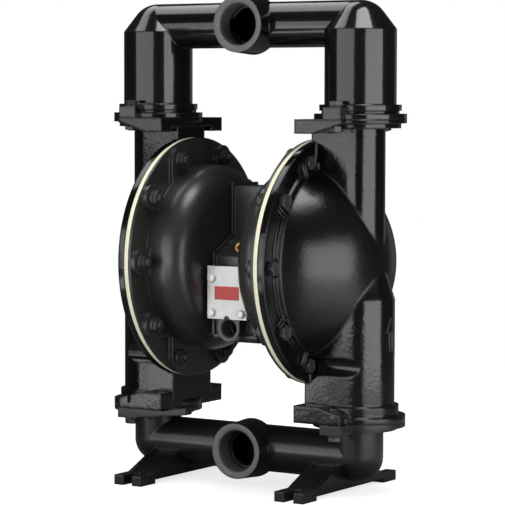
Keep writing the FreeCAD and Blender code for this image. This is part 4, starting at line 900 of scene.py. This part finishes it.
@dataclass
class Nut:
    """A hexagon nut standing on Z = 0, with a flange where it has one."""

    width: float
    height: float
    bore: float
    flange: float = 0.0

    def add(self, form: Form, place: Matrix) -> None:
        """Add the nut to a form."""
        crown = 0.475 * self.width
        foot = [circle(self.flange, 0), circle(self.flange, 1.2), hexagon(self.width, 2.3)]
        if not self.flange:
            foot = [circle(crown, 0), hexagon(self.width, 0, -CHAMFER)]
        rings = [circle(self.bore, 0), *foot, hexagon(self.width, self.height, CHAMFER)]
        rings += [circle(crown, self.height), circle(self.bore + 0.9, self.height)]
        rings += [circle(self.bore, self.height - 0.9)]
        form.stack(rings, place, hollow=True)


@dataclass
class RimHardware:
    """The bolts and flanged nuts round one diaphragm rim."""

    side: Side
    bolt_circle: float = 145.0
    head_face: float = 114.0
    nut_face: float = 88.5
    nut_height: float = 9.0
    thread_end: float = 4.0
    turns: tuple[float, ...] = (0.0, 36.0, 68.0, 112.0, 144.0)
    twist: float = 23.0

    def places(self) -> list[tuple[float, float]]:
        """Y and Z of each bolt."""
        turns = [math.radians(turn + half) for half in (0.0, 180.0) for turn in self.turns]
        reach = self.bolt_circle
        return [(-reach * math.cos(turn), AXIS_HEIGHT - reach * math.sin(turn)) for turn in turns]

    def build(self) -> None:
        """Make the set of bolts and the set of nuts."""
        out = self.side.sign
        grip = self.head_face - self.nut_face
        bolt = Bolt(18.0, 7.5, 6.0, grip + self.nut_height + self.thread_end, self.nut_height + 8.0)
        nut = Nut(18.0, self.nut_height, 6.0, flange=11.2)
        bolts, nuts = Form(), Form()
        for number, (y, z) in enumerate(self.places()):
            bolt.add(bolts, along((out, 0, 0), (out * self.head_face, y, z), number * self.twist))
            nut.add(nuts, along((-out, 0, 0), (out * self.nut_face, y, z), number * self.twist + 11.0))
        name = self.side.value
        bolts.keep(f"rim_bolts_{name}", Finish.FASTENER, "dark_fasteners", [f"cap_bolts_{name}"])
        nuts.keep(f"rim_nuts_{name}", Finish.FASTENER, "dark_fasteners", [f"cap_nuts_{name}"])


@dataclass
class JointHardware:
    """The bolts, washers and nuts that hold one manifold to the columns."""

    kind: str
    up: int
    washer_face: float
    nut_face: float
    offset: float = 65.0
    washer: float = 2.0
    nut_height: float = 8.0
    thread_end: float = 1.0
    twist: float = 17.0

    def build(self) -> None:
        """Make the three sets."""
        grip = abs(self.washer_face - self.nut_face) + self.washer
        bolt = Bolt(16.0, 6.4, 5.0, grip + self.nut_height + self.thread_end, self.nut_height + 6.0, 1.5)
        nut = Nut(16.0, self.nut_height, 5.0)
        disc = [(5.5, 0.0), (9.2, 0.0), (9.5, 0.3), (9.5, 1.7), (9.2, self.washer), (5.5, self.washer)]
        bolts, nuts, washers = Form(), Form(), Form()
        corners = [(side.sign * COLUMN, front * self.offset) for side in Side for front in (-1, 1)]
        for number, (x, y) in enumerate(corners):
            turn = number * self.twist
            head = self.washer_face + self.up * self.washer
            bolt.add(bolts, along((0, 0, self.up), (x, y, head), turn))
            nut.add(nuts, along((0, 0, -self.up), (x, y, self.nut_face), turn + 9.0))
            washers.spin(disc, along((0, 0, self.up), (x, y, self.washer_face)), steps=48)
        for form, kind in ((bolts, "bolts"), (nuts, "nuts"), (washers, "washers")):
            form.keep(f"{self.kind}_joint_{kind}", Finish.FASTENER, "dark_fasteners", [f"{self.kind}_{kind}"])


@dataclass
class Diaphragm:
    """One moulded diaphragm, made in sectors."""

    side: Side
    sectors: int = 12
    steps: int = 15
    hole: float = 9.0
    rim: float = 164.4
    rim_round: float = 1.0
    face: float = 98.0
    back: float = 104.5
    fold: tuple[float, float] = (68.0, 121.0)
    fold_height: float = 15.0
    fold_wall: float = 4.0
    fold_points: int = 14
    fixed_radius: float = 115.0

    def arch(self, inner: float, outer: float, base: float, top: float) -> list[tuple[float, float]]:
        """The fold's line from one radius to another, over a base and up to a top."""
        points = []
        for number in range(self.fold_points + 1):
            share = number / self.fold_points
            rise = math.sin(math.pi * share) ** 0.75 if 0 < number < self.fold_points else 0.0
            points.append((inner + (outer - inner) * share, base + (top - base) * rise))
        return points

    def outline(self) -> list[tuple[float, float]]:
        """Half the diaphragm's section, as radius and distance along the rod."""
        inner, outer = self.fold
        top = self.face + self.fold_height
        lower = self.arch(inner, outer, self.face, top)
        upper = self.arch(inner - self.fold_wall, outer + self.fold_wall, self.back, top + self.fold_wall)
        corner = self.rim_round
        edge = [
            (self.rim - corner, self.face),
            (self.rim - 0.3 * corner, self.face + 0.3 * corner),
            (self.rim, self.face + corner),
            (self.rim, self.back - corner),
            (self.rim - 0.3 * corner, self.back - 0.3 * corner),
            (self.rim - corner, self.back),
        ]
        return [(self.hole, self.face), *lower, *edge, *upper[::-1], (self.hole, self.back)]

    def build(self) -> None:
        """Make the sectors."""
        sweep = 360.0 / self.sectors
        middle = Vector((0, 0, AXIS_HEIGHT * MM))
        for number in range(self.sectors):
            place = along((self.side.sign, 0, 0), (0, 0, AXIS_HEIGHT), number * sweep)
            form = Form()
            form.spin(self.outline(), place, sweep, self.steps)
            name = self.side.value
            piece = form.keep(f"diaphragm_sector_{name}_{number + 1}", Finish.DIAPHRAGM, "diaphragm_rubber",
                              [f"diaphragm_{name}"], ride=None)
            half = math.radians(sweep / 2)
            radial = place.to_3x3() @ Vector((math.cos(half), math.sin(half), 0))
            start = middle + radial * (self.fixed_radius * MM)
            middle + radial * (self.fold[0] * MM)
            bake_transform(piece)


@dataclass
class CastRibs:
    """Short pairs of radial ribs cast beside the bolts of one fluid cap."""

    side: Side
    turns: tuple[float, ...] = (29.5, 61.5, 118.5, 150.5)
    lean: float = 15.0
    gap: float = 5.4
    inner: float = 131.0
    outer: float = 152.0
    width: float = 2.0
    root: float = 112.0
    tip: float = 120.6
    drop: float = 3.4

    def build(self) -> None:
        """Make the ribs of one cap."""
        form = Form()
        half_length = (self.outer - self.inner) / 2
        for turn in [half + turn for half in (0.0, 180.0) for turn in self.turns]:
            lean = self.lean if turn % 180 < 90 else -self.lean
            centre = along((self.side.sign, 0, 0), (0, 0, AXIS_HEIGHT), turn)
            place = centre @ Matrix.Translation((self.inner + half_length, 0, 0))
            place = place @ Matrix.Rotation(math.radians(lean), 4, "Z")
            for shift in (-self.gap / 2, self.gap / 2):
                low = (-half_length, shift - self.width / 2, self.root)
                high = (half_length, shift + self.width / 2, self.tip)
                form.bar(low, high, place, drop=self.drop)
        form.keep(f"cast_ribs_{self.side.value}", Finish.DOME, "black_casting")


@dataclass
class FlowArrow:
    """The raised outline of an arrow that points up the lower column."""

    side: Side
    column_radius: float = 47.0
    foot: float = 192.0
    neck: float = 216.0
    tip: float = 239.0
    shaft: float = 4.5
    barb: float = 10.0
    line: float = 2.2
    proud: float = 1.3
    sunk: float = 0.8

    def build(self) -> None:
        """Draw the arrow flat, thicken its line and wrap it round the column."""
        form = Form()
        half = [(self.shaft, self.foot), (self.shaft, self.neck), (self.barb, self.neck), (0.0, self.tip)]
        whole = half + [(-y, z) for y, z in half[2::-1]]
        face = form.work.faces.new([form.work.verts.new((0, y, z)) for y, z in whole])
        face.normal_update()
        bmesh.ops.inset_region(form.work, faces=[face], thickness=self.line, use_even_offset=True,
                               use_boundary=True)
        bmesh.ops.delete(form.work, geom=[face], context="FACES")
        grown = bmesh.ops.extrude_face_region(form.work, geom=form.work.faces[:])["geom"]
        upper = [item for item in grown if isinstance(item, bmesh.types.BMVert)]
        bmesh.ops.translate(form.work, vec=(1, 0, 0), verts=upper)
        bmesh.ops.subdivide_edges(form.work, edges=form.work.edges[:], cuts=2, use_grid_fill=True)
        out = self.side.sign
        for vert in form.work.verts:
            radius = self.column_radius - self.sunk + vert.co.x * (self.proud + self.sunk)
            angle = vert.co.y / self.column_radius
            vert.co.x = out * (COLUMN + radius * math.cos(angle))
            vert.co.y = radius * math.sin(angle)
        form.keep(f"flow_arrow_{self.side.value}", Finish.DOME, "black_casting")


@dataclass
class ThreadedPort:
    """The turned face and the thread of a port that looks to the front."""

    name: str
    mouth: float
    height: float
    outer: float
    chamfer: float
    thread: float
    depth: float
    pitch: float
    ridge: float
    proud: float = 0.35
    sunk: float = 0.6
    steps_per_turn: int = 72

    def build(self) -> None:
        """Make the face ring and the thread's ridge."""
        place = along((0, -1, 0), (0, 0, self.height))
        face = -self.mouth
        mouth = self.thread + self.chamfer
        ring = [
            (self.thread - 0.1, face - self.chamfer - 0.2),
            (mouth - 0.2, face + 0.1),
            (mouth + 0.3, face + self.proud),
            (self.outer - 0.8, face + self.proud),
            (self.outer - 0.3, face + 0.1),
            (self.outer - 0.3, face - self.sunk),
            (mouth + 0.6, face - self.sunk),
            (self.thread + 0.5, face - self.chamfer - self.sunk),
        ]
        rim = Form()
        rim.spin(ring, place, steps=128)
        rim.keep(f"{self.name}_turned_face", Finish.FACED, "black_casting")
        length = self.depth - self.chamfer - self.pitch
        turns = int(length / self.pitch)
        start = face - self.chamfer - 0.6 * self.pitch
        half = 0.42 * self.pitch
        tooth = [(self.thread + 0.3, start - half), (self.thread - self.ridge, start - 0.1 * self.pitch),
                 (self.thread - self.ridge, start + 0.1 * self.pitch), (self.thread + 0.3, start + half)]
        thread = Form()
        thread.spin(tooth, place, 360.0 * turns, self.steps_per_turn * turns, -self.pitch * turns)
        thread.keep(f"{self.name}_thread", Finish.THREAD, "black_casting")


@dataclass
class CoverScrews:
    """The four round-headed screws of the cover plate."""

    face: float = 74.2
    spread: float = 23.5
    heights: tuple[float, float] = (237.0, 283.5)
    head_radius: float = 5.6
    head: float = 5.0
    radius: float = 3.0
    length: float = 30.0
    crown: tuple[tuple[float, float], ...] = ((1.0, 0.66), (0.95, 0.84), (0.82, 0.95), (0.6, 1.0))

    def build(self) -> None:
        """Make the set."""
        form = Form()
        rings = [circle(self.radius - 0.5, -self.length), circle(self.radius, 0.5 - self.length)]
        rings += [circle(self.radius, 0), circle(self.head_radius - 0.2, 0), circle(self.head_radius, 0.3)]
        rings += [circle(wide * self.head_radius, high * self.head) for wide, high in self.crown]
        for x in (-self.spread, self.spread):
            for z in self.heights:
                form.stack(rings, along((0, -1, 0), (x, -self.face, z)), segments=36)
        form.keep("cover_round_screws", Finish.SCREW, "cover_steel", ["cover_screws"])


LIQUID_PORT = {"outer": 37.7, "chamfer": 2.0, "thread": 28.5, "depth": 27.0, "pitch": 2.2, "ridge": 1.1}
AIR_PORT = {"outer": 17.5, "chamfer": 1.2, "thread": 12.2, "depth": 24.0, "pitch": 1.8, "ridge": 0.7}


def build_pieces() -> None:
    """Make every piece that the solids leave plain."""
    for side in Side:
        RimHardware(side).build()
        Diaphragm(side).build()
        CastRibs(side).build()
        FlowArrow(side).build()
    JointHardware("outlet", up=1, washer_face=513.0, nut_face=489.0).build()
    JointHardware("inlet", up=-1, washer_face=84.5, nut_face=106.0).build()
    ThreadedPort("outlet_port", mouth=-50.0, height=623.5, **LIQUID_PORT).build()
    ThreadedPort("inlet_port", mouth=-52.0, height=48.5, **LIQUID_PORT).build()
    ThreadedPort("air_inlet", mouth=-70.0, height=216.0, **AIR_PORT).build()
    CoverScrews().build()
    log.info("pieces: hardware, diaphragms, ribs, arrows, threads and screws")


FINISH_NODES: dict[Finish, tuple[str, ...]] = {
    Finish.BODY: ("outlet_manifold", "valve_block"),
    Finish.BASE: ("inlet_manifold",),
    Finish.DOME: ("fluid_cap_SIDE",),
    Finish.DRUM: ("center_body", "air_cap_SIDE"),
    Finish.GASKET: ("valve_gasket", "body_gasket_SIDE"),
    Finish.COVER: ("cover_plate",),
    Finish.SCREW: ("cover_screws",),
    Finish.LABEL: ("label_plate",),
    Finish.BEARING: ("spool_sleeve", "valve_end_plugs", "rod_bushings", "pilot_bushings"),
    Finish.SPOOL: ("valve_spool",),
    Finish.MUFFLER: ("exhaust_muffler",),
    Finish.PLUG: ("brass_plug",),
    Finish.ROD: ("connecting_rod", "pilot_rod"),
    Finish.SEAL: ("rod_seals", "LEVEL_oring_SIDE"),
    Finish.SEAT: ("LEVEL_seat_SIDE",),
    Finish.BALL: ("LEVEL_ball_SIDE",),
    Finish.DIAPHRAGM: ("diaphragm_SIDE",),
    Finish.PLATE: ("inner_plate_SIDE", "outer_plate_SIDE"),
    Finish.FASTENER: ("rod_nuts", "cap_bolts_SIDE", "cap_nuts_SIDE", "body_screws_SIDE",
                      "LEVEL_bolts", "LEVEL_washers", "LEVEL_nuts"),
}


def node_finishes() -> dict[str, Finish]:
    """The finish of each node, with SIDE and LEVEL spelled out for both sides and both levels."""
    return {
        name.replace("SIDE", side.value).replace("LEVEL", level): finish
        for finish, names in FINISH_NODES.items()
        for name in names
        for side in Side
        for level in ("outlet", "inlet")
    }


def dress_castings() -> None:
    """Give every solid of the frame its finish."""
    finishes = node_finishes()
    for node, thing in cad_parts.items():
        SHOP.dress(thing, finishes[node])
    log.info("finishes: %d solids", len(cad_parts))


def main() -> None:
    """Dress the pump and set its stage."""
    logging.basicConfig(level=logging.INFO, format="%(message)s")
    dress_castings()
    build_pieces()
    Stage().build()


if __name__ == "__main__":
    main()
